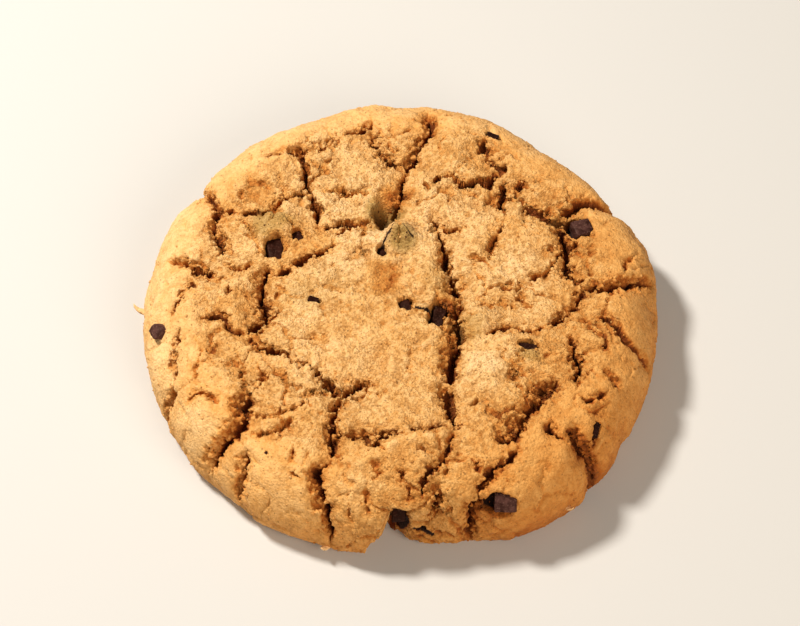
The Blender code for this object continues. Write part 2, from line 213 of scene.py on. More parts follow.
# The cracks: width and depth of the dark core, how much higher the left side stands as one goes along
# it, how wide the torn slope beside it is (minus for the right side), and the points it runs through
CRACKS = (
    (1.5, 3, 0.3, -1.6, ((-22.5, 6), (-23.2, 3), (-23.4, 0), (-22.4, -2.5), (-23, -5), (-25.5, -8.5))),
    (0.8, 2.4, 0.2, -0.9, ((-25.5, -8.5), (-23.6, -11), (-20, -12), (-16, -14.8), (-13.5, -16), (-9.6, -21))),
    (1.2, 2.8, 0.1, 0.9, ((-9.6, -21), (-7.6, -19), (-5.8, -18.4), (-3.4, -18.5))),
    (1, 2.8, -0.6, -1.6, ((4.2, 14.4), (6.4, 13.9), (7.6, 9.3), (7.7, 5.6), (9.2, 1.5), (10.1, -0.7))),
    (1.25, 3, -0.4, -2.2, ((10.1, -0.7), (9.5, -4.8), (9.8, -10.2), (8.6, -14.5), (7.6, -18.4))),
    (1.15, 2.8, 0.2, -1.2, ((7.6, -18.4), (7.8, -20.4), (8.5, -22.9), (9.2, -25.7), (9.8, -27.5))),
    (0.6, 1.8, 0.3, 0.9, ((-22.5, 3.4), (-20.7, 3.8), (-18, 5.9), (-14, 7.6), (-12, 8.9), (-11.3, 10.8))),
    (0.5, 1.4, 0.2, 0.9, ((-11.3, 10.8), (-10.2, 12.3), (-8.3, 13.6), (-4.9, 15))),
    (0.7, 1.7, 0.3, 0.7, ((-13.4, 13.6), (-11.2, 13.8), (-9.1, 14.1), (-7, 14), (-4.9, 14.9))),
    (1.4, 2.6, 0.1, -1.2, ((4.9, 42), (5.3, 38.5), (5.4, 33.8), (3.6, 31.2), (2.6, 28.6), (1.2, 26))),
    (1.4, 3, -0.2, -0.9, ((1.2, 26), (0.6, 23), (0, 20), (-0.6, 18), (-1.4, 15))),
    (0.9, 2.6, 0.1, 0.6, ((-18.7, 29.7), (-16.9, 27.6), (-16.1, 23.1), (-15.2, 19.4), (-14.2, 16.5),
        (-13.7, 12.7))),
    (0.6, 1.8, -0.4, 1.6, ((-24.5, 28.6), (-21, 28.6), (-18, 29.3), (-15.5, 29.2), (-12.4, 30.6), (-10, 33))),
    (0.7, 1.8, -0.3, 1.4, ((-10, 33), (-8.4, 33.6), (-5.4, 34.8), (-5.2, 38))),
    (1.1, 2.4, 0, 0.9, ((-5.3, 34), (-4.2, 31.5), (-3, 29.2), (-2, 27.7), (0.6, 26.2))),
    (0.6, 1.4, 0.3, 0.9, ((-31, 16.3), (-28.7, 16.5), (-24.7, 15.9), (-22.3, 16.3), (-21, 17.8),
        (-18.6, 19.5), (-15.3, 19.8))),
    (1.3, 2.4, 0.2, 1.4, ((-42.5, 32.5), (-39.4, 28.6), (-36.8, 25), (-35, 22.3), (-32.4, 18.5),
        (-31.3, 15), (-31.5, 12.5), (-30.2, 8.9), (-31, 7))),
    (0.9, 2, 0.2, 0.9, ((-41.5, 8), (-37.3, 6.3), (-34.3, 4.7), (-32.3, 3.9), (-31, 2.9))),
    (0.6, 1.6, 0.2, 0.8, ((-31, 4.6), (-28.7, 4.9), (-27.1, 4.7), (-24.8, 6.2))),
    (0.8, 1.8, 0.4, -1.2, ((-35, 3.4), (-35.3, 1.5), (-36.8, 0.2), (-38.2, -2.2), (-39.6, -5.2))),
    (1.1, 2.4, 0.5, -1.8, ((-37.4, -7.5), (-38.8, -10.3), (-39.1, -14.7), (-39, -17.6))),
    (1.3, 2.6, 0.3, -2, ((-39, -17.6), (-41, -19.2), (-43.6, -20.6), (-48, -22.5))),
    (0.8, 2.2, 0.2, 0.8, ((-34, -5), (-30.1, -5.2), (-28.6, -6.5), (-27.8, -8), (-25.6, -8.3))),
    (1.2, 2.6, -0.3, -2.2, ((-24.6, -20.2), (-25.5, -23), (-25.8, -25.6), (-28, -28.3), (-32, -31),
        (-36, -34.3))),
    (0.8, 1.8, 0, -1.4, ((-26.6, -30.8), (-26.9, -33.5), (-27.2, -35.5), (-29, -37.8), (-31, -40.5))),
    (0.4, 1.2, 0.2, 1, ((-25.4, -24.4), (-22.5, -25), (-19.2, -24.3), (-16.7, -23.6), (-15.3, -21.3),
        (-13, -20.4), (-10.5, -20.5))),
    (0.9, 2.4, 0.1, -1, ((-9.6, -21), (-10.4, -24), (-11.3, -28.8), (-10.9, -31.2), (-11.4, -33.8))),
    (1.5, 3, 0.2, -1.4, ((-11.4, -33.8), (-13.9, -35.6), (-13.7, -38.5), (-13.7, -41.5), (-13, -44),
        (-13.6, -50))),
    (0.9, 2.2, -0.5, 1, ((-9.4, -29.4), (-6.5, -29.3), (-4.2, -30.2), (-3.2, -29.3), (-0.4, -28.3),
        (1, -28.2))),
    (0.45, 1.6, -0.8, 0.6, ((1, -28.2), (2.2, -28.1), (3.6, -28.4), (5.6, -27.2), (8.7, -26.7))),
    (0.6, 1.8, 0.3, -0.7, ((8.6, -27.2), (8, -30.9), (6.8, -34.7), (4.8, -36), (4.4, -37.5), (3.2, -39.3))),
    (1.1, 2.4, 0, 0.7, ((6.2, -38.9), (6.4, -42), (5.7, -44.3), (4.9, -45.6))),
    (0.9, 2.2, -0.2, 1, ((19.3, -31.2), (17, -34), (15.2, -36.2), (13.8, -38.6), (13.4, -40.4))),
    (1.7, 3.4, -0.2, 1, ((13.6, -40), (13.2, -42.4), (13.1, -46), (14.2, -51))),
    (0.8, 1.8, 0.5, -2.8, ((26.6, -18.1), (25.2, -19.4), (23.7, -21.7), (21.6, -24.4), (19.8, -27.4),
        (17.6, -29.9), (14.6, -29.3))),
    (1.7, 2.8, 0, 2.2, ((27, -27), (28.8, -28.6), (31, -30.8), (34.2, -33), (37, -36), (39.5, -39.6),
        (42, -43.5))),
    (0.9, 2.2, 0.2, 1, ((23.8, -26), (24.6, -27.9), (26, -28.9), (27.5, -29.8))),
    (0.5, 1.8, 0, 0.8, ((33.1, -25.2), (33.2, -27.3), (33.9, -30.5))),
    (0.9, 2.6, 0.1, -1, ((28.5, -8.6), (28.9, -12), (29, -13.2), (30.4, -15.4), (29.3, -17.2),
        (28.7, -18.6))),
    (0.8, 1.6, 0, 1.2, ((33.4, -15.8), (35, -16.2), (36.8, -17.1), (38.2, -19.2))),
    (0.6, 1.8, 0.4, 1, ((32.8, -4.7), (35.3, -6), (37.2, -8.2), (39.3, -9.6), (42, -10.8), (46.5, -12.5))),
    (1.3, 3.2, 0.3, 1.6, ((30.6, 1), (33, 0.8), (36, 1.2), (38.2, 1.9), (40.5, 2.6), (43, 4.2), (47, 6.3))),
    (1.1, 2.8, 0, -1, ((26.5, 14), (27.1, 12.3), (28.4, 9.4), (28.3, 6.5), (28.6, 4.2), (30.8, 1.1))),
    (0.9, 2.4, 0.2, -1.2, ((30.8, 1.1), (30.2, -1.5), (29, -3.7), (27.4, -5.3), (24.2, -6.9))),
    (0.7, 1.8, 0.2, 1.1, ((24.2, -6.9), (21.5, -8.3), (19, -7.6), (17, -7.8), (14.4, -9.2))),
    (0.5, 1.5, 0.3, 0.6, ((15.7, 2.1), (17.6, 1), (19.5, 0.4), (22.3, 2.9), (25.1, 4.2), (26.8, 7.3),
        (28.6, 8))),
    (0.7, 2, -0.2, 0.9, ((14.6, 32.4), (14.5, 30.6), (15.3, 27.8), (17, 25.6), (17, 23.6))),
    (0.8, 2.2, -0.3, 0.7, ((17, 23.6), (17.6, 21.9), (17.4, 19.7), (17.1, 17.4), (18, 15.5))),
    (0.45, 1.5, -0.3, 0.6, ((18, 15.5), (17.2, 13.6), (16.9, 12.2), (15.6, 9.4), (15, 5.4))),
    (0.6, 1.8, 0.4, 0.6, ((5.4, 22), (7, 23.4), (9.4, 23.3), (10.6, 22.4), (14, 22.4), (16.1, 23.5),
        (17, 25.4))),
    (0.6, 1.6, 0.1, 0.8, ((3.9, 23), (4.4, 22.2), (5.8, 20.6))),
    (0.5, 1.6, 0.3, 0.6, ((6.6, 14), (8.4, 13), (10, 13), (12.2, 12.9))),
    (0.6, 1.8, 0.4, 0.7, ((20.4, 17.6), (22.6, 17.3), (24.1, 16), (26.5, 14.5), (27.4, 13.8))),
    (0.6, 1.4, 0.1, 0.6, ((19.2, 21.5), (20.9, 22.3), (22.2, 21.3))),
    (1.2, 2.4, 0.9, -1, ((28, 14.6), (28.8, 16.8), (30.4, 18.9), (33, 19.7), (36.8, 20.6), (41, 23),
        (46, 26))),
    (0.4, 1.2, 0.3, 0.4, ((11.5, 7.1), (12.9, 6.8), (15, 5.4), (15.8, 4.1))),
    (0.3, 0.9, 0.2, 0.4, ((-6.8, 9.6), (-7.4, 7), (-9.2, 5.5))),
    (0.4, 1.2, 0.1, 0.5, ((-30.6, -9.8), (-31.6, -12.4), (-32.1, -14.8))),
    (0.4, 1.2, 0.1, 0.5, ((-28.7, 2.5), (-28.5, -0.5), (-28.6, -2))),
    (0.5, 1.4, 0.1, 0.7, ((-24.4, -13.6), (-23.3, -15.1), (-22.4, -16.9), (-23.6, -19.2), (-24.6, -20.4))),
    (0.4, 1, 0.1, 0.5, ((-19.3, -34.8), (-17.7, -33), (-17.3, -30.6))),
    (0.5, 1.2, -0.2, 1, ((-37, -21.3), (-35, -20.6), (-32.5, -20.8), (-30, -23.2))),
    (0.5, 1.3, 0.4, 0.8, ((-13.8, 20.2), (-10.5, 21), (-8.4, 20.2), (-6.3, 20.7), (-4.4, 20))),
    (0.4, 1, 0.2, 0.5, ((23, -14), (24.5, -13), (26.9, -12.7))),
    (0.3, 0.8, 0.1, 0.6, ((30.2, -23.8), (32.8, -23.7), (36, -21.4))),
    (0.5, 1.2, 0, 0.9, ((18.8, -14.5), (18.4, -17.6), (17.2, -20.4))),
    (0.4, 1.4, -0.5, 0.6, ((9.6, -4.9), (11.2, -4.6), (13, -5.7))),
    (0.4, 1.2, 0.2, 0.5, ((0.9, -3.2), (2.8, -3.9), (5.2, -4.5), (6.4, -4.9))),
    (2.4, 2.6, 0, 0.8, ((25.6, 14.8), (27.2, 14.4), (28.2, 13.3))),
    (0.9, 2, 0, 0.5, ((28.4, 8.9), (29.6, 9.5), (30.6, 10.3))),
    (0.7, 1.2, 0, 0.4, ((7.9, 38.4), (9, 38.8), (10, 38.4))),
    (0.3, 0.6, 0.1, 0.3, ((10.7, 27.2), (12.3, 27.5), (14.2, 27.3))),
    (0.4, 0.8, 0.1, 0.4, ((23.2, 22.6), (24.5, 23.7), (25.4, 24))),
    (0.4, 1, 0.1, 0.8, ((24, 6.6), (25.2, 8.1), (26.8, 8.9))),
    (0.5, 1.2, 0.2, -1.4, ((-25.2, -27.3), (-23.3, -28.6), (-21, -27.6), (-19.3, -26.6), (-17, -26))),
    (0.4, 0.9, 0.1, 0.7, ((-19.4, -34.8), (-17.6, -36.4), (-16, -37))),
    (0.45, 1.2, 0.2, 0.7, ((-5.6, -38.8), (-6.1, -41), (-5.6, -42.8), (-4.8, -44.2))),
    (0.35, 0.9, 0.1, 0.5, ((-8.4, -41.2), (-8.8, -43.2), (-8.1, -45.6))),
    (0.5, 1.2, 0.1, 0.7, ((1.2, -37.6), (1.6, -39.8), (1.1, -42.2))),
    (0.6, 1.4, 0.1, 0.7, ((3.9, -36.6), (3.4, -39.4), (4.2, -41.6))),
    (0.4, 1, 0.2, 0.8, ((-5.2, -33), (-3.4, -35.4), (-3.8, -37.8))),
    (0.4, 1, 0.1, 0.8, ((-0.8, -34.6), (0.6, -36.2), (0.4, -38.6))),
    (0.9, 2, 0.1, 0.7, ((2.4, -49), (4.2, -49), (6.2, -49.5))),
    (0.4, 1.2, 0.1, 0.6, ((6.2, -49.5), (8.4, -48.9), (10.6, -49.6))),
    (0.6, 1.4, 0.2, 1.2, ((10.5, -32.6), (12.4, -34.2), (13.6, -36.6))),
    (0.4, 1.1, 0, 1, ((17.2, -36.4), (18.4, -37.5), (20.2, -37.2))),
    (0.9, 2.2, 0, 0.6, ((11, -41.3), (12.4, -41.7), (14, -41.4))),
    (0.5, 1.2, 0.2, 1.2, ((18.6, -24.2), (16.4, -25.6), (15.4, -27.8))),
    (0.4, 1, 0.1, 0.8, ((24.2, -20.4), (22.6, -19.2), (21.4, -18.2))),
    (0.5, 1.4, 0.1, 1, ((29.4, -20.6), (31, -21.8), (33.4, -21.2), (35.4, -19.6))),
    (0.5, 1.2, 0, 0.9, ((38.8, 4.2), (39.6, 6.8), (41.2, 8.4))),
    (0.4, 1, 0.1, 0.7, ((30.6, -4.6), (32, -7.6), (34.4, -9.4), (35.2, -12.6))),
    (0.4, 1, 0.1, 0.7, ((20.2, 0.6), (20.9, -2.2), (23.4, -4.2))),
    (0.4, 0.9, 0.1, 0.8, ((12.6, -0.8), (14.8, -2.6), (17.2, -2.4), (19.8, -3.4))),
    (0.4, 1, 0.1, 0.6, ((-34.4, -9.6), (-33.2, -12.2), (-34.4, -15.4), (-33.8, -18.6))),
    (0.4, 0.9, 0, 0.5, ((-27.6, -12.2), (-25.8, -15.4), (-27.2, -18.2))),
    (0.4, 1, 0.1, 0.6, ((-28.2, 12.8), (-26.4, 13.8), (-25.2, 12.6), (-24.8, 10.6))),
    (0.25, 0.7, 0.1, 0.6, ((-9.6, 23.6), (-11.2, 23.2), (-12.8, 23.4))),
)
CRACK_POINT_STEP = 0.8
CRACK_REACH = 6
HAIRLINE_CELL = 6.6


def along_route(route):
    """Points a small step apart on a smooth curve through the route's own points."""
    corners = np.array(route, float)
    padded = np.vstack((corners[0], corners, corners[-1]))
    points = []
    for before, start, end, after in zip(padded, padded[1:], padded[2:], padded[3:]):
        steps = max(1, round(math.dist(start, end) / CRACK_POINT_STEP))
        t = np.arange(steps)[:, None] / steps
        points.append(
            (
                2 * start
                + (end - before) * t
                + (2 * before - 5 * start + 4 * end - after) * t**2
                + (3 * start - before - 3 * end + after) * t**3
            )
            / 2
        )
    return np.vstack(points + [corners[-1:]])


def beside_route(points, u, v):
    """Distance from a route to each (u, v), plus on its left, and how far along it that is in mm."""
    nearest = np.full(u.shape, 99.0)
    along = np.zeros_like(u)
    travelled = 0.0
    for start, end in zip(points, points[1:]):
        step = end - start
        length = math.hypot(*step)
        du, dv = u - start[0], v - start[1]
        t = np.clip((du * step[0] + dv * step[1]) / length**2, 0, 1)
        away = np.hypot(du - t * step[0], dv - t * step[1])
        left = step[0] * dv - step[1] * du
        closer = away < np.abs(nearest)
        nearest = np.where(closer, np.copysign(away, left), nearest)
        along = np.where(closer, travelled + t * length, along)
        travelled += length
    return nearest, along, travelled


def near_points(points, u, v, margin):
    """Which (u, v) lie in the box round a route's points, with a margin in mm."""
    low, high = points.min(0) - margin, points.max(0) + margin
    return np.flatnonzero((u > low[0]) & (u < high[0]) & (v > low[1]) & (v < high[1]))


def heighten(field, near, values):
    """Lifts a field to these values where they are the higher."""
    field[near] = np.maximum(field[near], values)


def crack_crust(u, v):
    """Rise of the crust from its cracks, in mm, and from 0 to 1 how torn it is, how deep in a crack and
    how near a plate's edge. The material colours the deep places darker, partly as browner crumb and
    partly as painted shade."""
    ragged_u = u + 0.3 * waves(u, v, 2.2, 11) + 0.26 * waves(u, v, 1.1, 12)
    ragged_v = v + 0.3 * waves(u, v, 2.2, 21) + 0.26 * waves(u, v, 1.1, 22)
    bitten = 0.24 * waves(u, v, 1.1, 31) + 0.2 * waves(u, v, 0.6, 32)
    core, slope, rounding, tilt, torn, deep, bordering = np.zeros((7, len(u)))
    for number, (width, depth, step, slope_width, route) in enumerate(CRACKS):
        points = along_route(route)
        near = near_points(points, u, v, CRACK_REACH)
        away, along, length = beside_route(points, ragged_u[near], ragged_v[near])
        ends = ease(0, 2.0, along) * ease(0, 2.0, length - along) * 0.7 + 0.3
        ends = np.where((along <= 0) | (along >= length), ends * 0.5, ends)
        lane = np.full_like(along, number * 7.3)
        spread = min(max((width - 0.15) / 0.6, 0.2), 1.0)
        pinch = 0.9 + 0.35 * waves(along, lane, 1.7, 33) + 0.3 * waves(along, lane, 5.0, 34)
        pinch = np.clip(pinch, 0.45, 1.4)
        half = (width * 0.22 * pinch + 0.1) * ends
        distance = np.abs(away)
        nibble = bitten[near]
        open_by = half - distance + nibble * (0.4 + 0.6 * ends) * (0.3 + 0.45 * min(width, 1.0))
        on_slope_side = away * np.sign(slope_width) > 0
        long_fall = abs(slope_width) * (0.9 + 0.5 * waves(along, lane, 3.1, 35))
        fall = np.where(on_slope_side, long_fall, 0.5) * ends
        banked = ease(0, fall + 0.4, half + fall - distance + 1.4 * nibble)
        heighten(core, near, ease(-0.05, 0.22, open_by) * 0.76 * depth * ends * np.clip(pinch, 0.6, 1))
        heighten(slope, near, banked * min(depth * 0.4, 1.15) * ends * spread)
        weight = ends * min(width * 0.8 + 0.15, 1.15)
        sag = ends * min(0.12 + 0.8 * width**2, 1.15)
        edge_drop = 0.5 * np.exp(-((distance / 1.0) ** 2)) + 0.5 * np.exp(-((distance / 2.8) ** 2))
        heighten(rounding, near, edge_drop * sag)
        heighten(bordering, near, weight * np.exp(-((distance / (1.2 + 0.5 * width)) ** 2)))
        tilt[near] += step * 0.8 * np.tanh(away / 0.25) * np.exp(-distance / 3.2) * ends
        heighten(torn, near, ease(-0.3, 0.6, half + fall - distance + 1.6 * nibble) * ends * spread)
        # Painted shade: the more open and deep the crack, the darker its colour
        crack_shade = ease(-0.12, 0.12, open_by) * min(depth / 1.7, 1) * np.clip(ends * 1.3, 0, 1)
        heighten(deep, near, crack_shade)
    return tilt - rounding - slope - core, torn, deep, np.clip(bordering, 0, 1)


def hairlines(u, v):
    """Fine cracks that wander over the crust and fade in and out, 0 to 1."""
    bent_u = u + 1.3 * waves(u, v, 3.4, 61) + 0.4 * waves(u, v, 1.1, 62)
    bent_v = v + 1.3 * waves(u, v, 3.4, 63) + 0.4 * waves(u, v, 1.1, 64)
    column = np.floor(bent_u / HAIRLINE_CELL).astype(np.int64)
    row = np.floor(bent_v / HAIRLINE_CELL).astype(np.int64)
    first, second = np.full_like(u, 9.0), np.full_like(u, 9.0)
    for step_u in (-1, 0, 1):
        for step_v in (-1, 0, 1):
            cell = column + step_u, row + step_v
            away = np.hypot(
                cell[0] + scatter(65, *cell) - bent_u / HAIRLINE_CELL,
                cell[1] + scatter(66, *cell) - bent_v / HAIRLINE_CELL,
            )
            second = np.minimum(second, np.maximum(first, away))
            first = np.minimum(first, away)
    between = (second - first) * HAIRLINE_CELL
    shown = ease(-0.25, 0.2, waves(u, v, 5.0, 67))
    return (1 - ease(0.0, 0.85, between + 0.5 * waves(u, v, 0.7, 68))) * shown


def valleys(u, v):
    """Depth of the broad valleys between the plates, in mm, and from 0 to 1 how much browner they are
    coloured, partly browning and partly painted shade, and how curled up an edge is."""
    drop, curled, browning_and_shade = np.zeros((3, len(u)))
    uneven_by = 0.7 * waves(u, v, 2.6, 45) + 0.3 * waves(u, v, 1.2, 46)
    for half_width, depth, shade, route in VALLEYS:
        points = along_route(route)
        near = near_points(points, u, v, 2.5 * half_width)
        away, _, _ = beside_route(points, u[near], v[near])
        share = np.exp(-(((np.abs(away) + uneven_by[near]) / half_width) ** 2))
        if depth > 0:
            heighten(drop, near, depth * share)
        else:
            drop[near] += depth * share
            heighten(curled, near, share)
        heighten(browning_and_shade, near, shade * share)
    return drop, browning_and_shade, curled


def crust_relief(u, v):
    """Rise of the crust over the smooth skin before it tore, in mm."""
    rise = 0.45 * waves(u, v, 9.0, 1) + 0.55 * waves(u, v, 4.6, 2) + 0.22 * waves(u, v, 2.5, 3)
    for hump_u, hump_v, radius, height in HUMPS:
        rise += height * np.exp(-((u - hump_u) ** 2 + (v - hump_v) ** 2) / radius**2)
    hollow_u, hollow_v, half_width, half_length, depth = HOLLOW
    inside = np.hypot((u - hollow_u) / half_width, (v - hollow_v) / half_length)
    inside += 0.16 * waves(u, v, 2.3, 48) + 0.08 * waves(u, v, 1.1, 49)
    southward = 0.5 + 0.6 * ease(0.9, -0.7, (v - hollow_v) / half_length)
    rise -= depth * (1 - ease(0.15, 1.1, inside)) * southward
    return rise


# Where chocolate shows: a torn window in the crust over each chunk, as half-width and half-length in
# mm, the turn of its long axis in degrees, how deep the dough dips under it and how far aside it is
WINDOWS = {
    "chunk_north_west": (1.5, 2, -8, 2.6, -0.2, 0.9),
    "chunk_north_west_small": (1, 1, 20, 2.2, 0.1, 0.5),
    "chunk_middle_west": (1, 0.4, -12, 1.3, 0, 0),
    "chunk_under_hump": (0.6, 0.9, 8, 1.8, -0.1, 0),
    "chunk_middle": (1.1, 1.15, 20, 2.2, 0, 0),
    "chunk_middle_east": (1.3, 2.7, -10, 3, -0.2, 0.2),
    "chunk_north_east": (2, 2, 20, 2.2, -0.3, 0.2),
    "chunk_west_rim": (1.2, 0.7, 30, 1.4, 0, 0.6),
    "chunk_south_east": (2.35, 1.9, 0, 2.7, -0.1, -0.4),
    "chunk_south": (1.2, 1.6, 0, 2.4, 0, 0),
    "chunk_south_low": (1.7, 0.45, -14, 1.4, 0.4, -3.4),
    "chunk_east": (1.6, 0.8, -10, 1.8, 0, 0.1),
    "chunk_north_rim": (1.3, 0.35, -15, 1.4, -0.3, 0.8),
    "chunk_south_east_rim": (0.5, 0.9, -5, 1.6, 0, 0),
    "chunk_south_west": (0.25, 0.2, 25, 0.4, 0, 0),
}
# The hairline round the highest hump and the slits beside two chunks, where chocolate shows: the
# half-width in mm and the points that each runs through
CHOCOLATE_LINES = (
    (0.15, ((-3, 8.5), (-2.7, 9.6), (-2, 10.5), (-1.4, 11.1), (-0.7, 11.4))),
    (0.26, ((-1, 11.4), (-0.2, 11.5), (0.6, 11.1), (1.3, 10.6), (2, 9.9))),
    (0.25, ((2.7, -3.7), (3.6, -4), (4.8, -4.3), (6, -4.6))),
    (0.5, ((2.8, -49), (4.2, -49.1), (6, -49.5))),
)


def flatten_to_skin(place):
    """The (u, v) on the skin nearest to a place in the frame, found by walking over a fine net."""
    centre_u, centre_v, span = 0.0, 0.0, 58.0
    for _ in range(5):
        steps = np.linspace(-span, span, 41)
        net_u, net_v = (axis.ravel() for axis in np.meshgrid(centre_u + steps, centre_v + steps))
        points, _ = skin(net_u, net_v)
        best = np.argmin(np.linalg.norm(points - np.array(place), axis=1))
        centre_u, centre_v, span = net_u[best], net_v[best], span / 12
    return centre_u, centre_v


def open_windows(u, v):
    """Depth of the dips over the chunks, in mm, and from 0 to 1 how far inside a window each (u, v)
    is, how smeared with chocolate and how near to a window."""
    dips, inside, smear, beside = np.zeros((4, len(u)))
    ragged = 0.3 * waves(u, v, 0.9, 41) + 0.18 * waves(u, v, 0.45, 42)
    for name, (half_width, half_length, turn, depth, shift_u, shift_v) in WINDOWS.items():
        low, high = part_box(name)
        spot_u, spot_v = flatten_to_skin((low + high) / 2 / MM)
        spot_u, spot_v = spot_u + shift_u, spot_v + shift_v
        cosine, sine = math.cos(math.radians(turn)), math.sin(math.radians(turn))
        across = ((u - spot_u) * cosine + (v - spot_v) * sine) / half_width
        along = ((v - spot_v) * cosine - (u - spot_u) * sine) / half_length
        reach = (np.abs(across) ** 2.6 + np.abs(along) ** 2.6) ** (1 / 2.6) + ragged / half_width
        dip = 1 - ease(0.85, 1.2, reach)
        dips = np.maximum(dips, dip * depth)
        inside = np.maximum(inside, dip)
        smear = np.maximum(smear, 1 - ease(0.85, 1.05, reach))
        beside = np.maximum(beside, 1 - ease(1.0, 1.4, reach))
    for half_width, route in CHOCOLATE_LINES:
        away, _, _ = beside_route(along_route(route), u, v)
        reach = (np.abs(away) + 0.12 * waves(u, v, 0.7, 43)) / half_width
        dips = np.maximum(dips, 0.4 * (1 - ease(0.5, 1.3, reach)))
        smear = np.maximum(smear, 1 - ease(0.7, 1.3, reach))
    return dips, inside, smear, beside


def square_to_disc(x, y):
    """Moves points of the square from -1 to 1 to the unit disc, with even cells."""
    wide = np.abs(x) >= np.abs(y)
    main = np.where(wide, x, y)
    other = np.where(wide, y, x)
    safe = np.where(np.abs(main) < 1e-9, 1, main)
    turn = math.pi / 4 * other / safe
    return np.where(wide, main * np.cos(turn), main * np.sin(turn)), np.where(
        wide, main * np.sin(turn), main * np.cos(turn)
    )


def read_places(mesh_edit):
    return np.array([vertex.co[:] for vertex in mesh_edit.verts])


def set_places(mesh_edit, places):
    for vertex, place in zip(mesh_edit.verts, places.tolist()):
        vertex.co = place


# The crust is one sheet wrapped over the round, from the middle of the top to the foot. It is worked out
# first where the front lip, the rim, the cracks, the windows and the valleys are, from 0 to 1.
sheet = bmesh.new()
bmesh.ops.create_grid(sheet, x_segments=SHEET_CELLS, y_segments=SHEET_CELLS, size=1.0)
square = read_places(sheet)
disc_x, disc_y = square_to_disc(square[:, 0], square[:, 1])
reach = np.hypot(disc_x, disc_y)
skin_length = outline_radius(np.arctan2(disc_y, disc_x)) - SHOULDER_REACH + SHOULDER_LENGTH + FOOT_LENGTH
u, v = disc_x * skin_length, disc_y * skin_length
points, normals = skin(u, v)
to_foot = (1 - reach) * skin_length
front = np.exp(-(((u - 3) / 13) ** 2)) * ease(-28.0, -33.0, v)
rim = ease(32.0, 38.0, np.hypot(u, v) + 1.8 * waves(u, v, 7.0, 51)) * (1 - 0.85 * front)
cracked, torn, deep, bordering = crack_crust(u, v)
smooth_middle = np.exp(-((u + 3) ** 2 + (v + 4) ** 2) / 121)
fine_cracks = hairlines(u, v) * (1 - 0.6 * rim) * (1 - 0.7 * smooth_middle)
torn = np.maximum(torn, 0.45 * fine_cracks)
deep = np.maximum(deep, 0.5 * fine_cracks**2)
dips, windows, smeared, beside_window = open_windows(u, v)
valley_drop, valley_browning_and_shade, curled = valleys(u, v)
rim = np.maximum(rim, 0.9 * curled)
rise = crust_relief(u, v) * (1 - 0.35 * rim) + cracked - 0.65 * fine_cracks - dips - valley_drop
near_foot = ease(0.0, 4.0, to_foot)
rise = rise * (0.35 + 0.65 * near_foot)
sideways = normals.copy()
sideways[:, 2] *= near_foot
places = points + sideways * rise[:, None]

# The front of the foot is hollow, as if a bite of dough had stayed on the tray, and to the right of the
# hollow it draws back under the crust
drawn_back = np.interp(places[:, 0], *zip(*FOOT_DRAW)) * ease(13.0, 7.0, places[:, 2])
places[:, 1] += drawn_back * (places[:, 1] < 0)
bite = np.array(FOOT_BITE_CENTRE)
bite_half = np.array(FOOT_BITE_SIZE) / 2
across = (places[:, 0] - bite[0] - FOOT_BITE_LEAN * (places[:, 2] - bite[2])) / bite_half[0]
upward = (places[:, 2] - bite[2]) / bite_half[2]
room = 1 - across**2 - upward**2
hollowed_in = bite_half[1] + FOOT_BITE_UNDERCUT * ease(5.0, 0.5, places[:, 2])
back_wall = bite[1] + hollowed_in * np.sqrt(np.clip(room, 0, 1))
on_ledge = (places[:, 0] > bite[0] + FOOT_LEDGE[0]) & (places[:, 2] < FOOT_LEDGE[1])
bitten = (room > 0) & (places[:, 1] < back_wall) & ~on_ledge
places[:, 1] = np.where(bitten, back_wall, places[:, 1])
# Painted shade: the wall inside the hollow is coloured dark, with the crack colour and the dark smear colour,
# where it lies in shadow
in_bite = bitten & (places[:, 0] > bite[0] + 1)
deep = np.where(in_bite, np.maximum(deep, ease(0.0, 0.3, room)), deep)
bite_shade = ease(-0.1, 0.2, room) * ease(1.2, 2.4, places[:, 2])
smeared = np.where(in_bite, np.maximum(smeared, bite_shade), smeared)

# Crumb: every surface is made of small grains, coarse where it tore and fine on the skin of the rim.
# The larger grains baked flat on top, so they are cut off at this height.
CRUMB_TOP = 0.22
set_places(sheet, places)
sheet.normal_update()
facing = np.array([vertex.normal[:] for vertex in sheet.verts])
coarse = np.minimum(grains(places, 1.6, 71) - 0.4, CRUMB_TOP)
middling = np.minimum(grains(places, 0.95, 75) - 0.4, CRUMB_TOP)
fine = grains(places, 0.6, 79) - 0.4
lumpy = 0.6 * waves(u, v, 2.8, 84) + 0.4 * waves(u, v, 1.4, 85)
uneven = 0.9 + 0.5 * waves(u, v, 3.7, 83)
broken = np.clip(torn + 0.35 * bordering, 0, 1)
crumb = uneven * (
    coarse * (0.3 * (1 - 0.75 * rim) + 0.34 * broken)
    + middling * (0.35 * (1 - 0.65 * rim) + 0.55 * broken)
    + fine * (0.24 * (1 - 0.5 * rim) + 0.6 * broken)
    + lumpy * (0.4 * (1 - 0.65 * rim) + 0.15 * broken)
)
# Small pits where a grain has dropped out, most of them beside the cracks
sparse = waves(u, v, 2.3, 87) + 0.8 * bordering - 0.6 * rim
pits = ease(0.5, 0.75, grains(places, 1.05, 88)) * ease(0.25, 0.75, sparse)
crumb -= 0.4 * pits * (1 - deep)
in_hollow = np.hypot((u - HOLLOW[0]) / HOLLOW[2], (v - HOLLOW[1]) / HOLLOW[3])
softened = (1 - 0.7 * windows) * (1 - 0.5 * deep) * (0.4 + 0.6 * near_foot)
crumb *= softened * (0.5 + 0.5 * ease(0.8, 1.1, in_hollow))
places = places + facing * crumb[:, None]
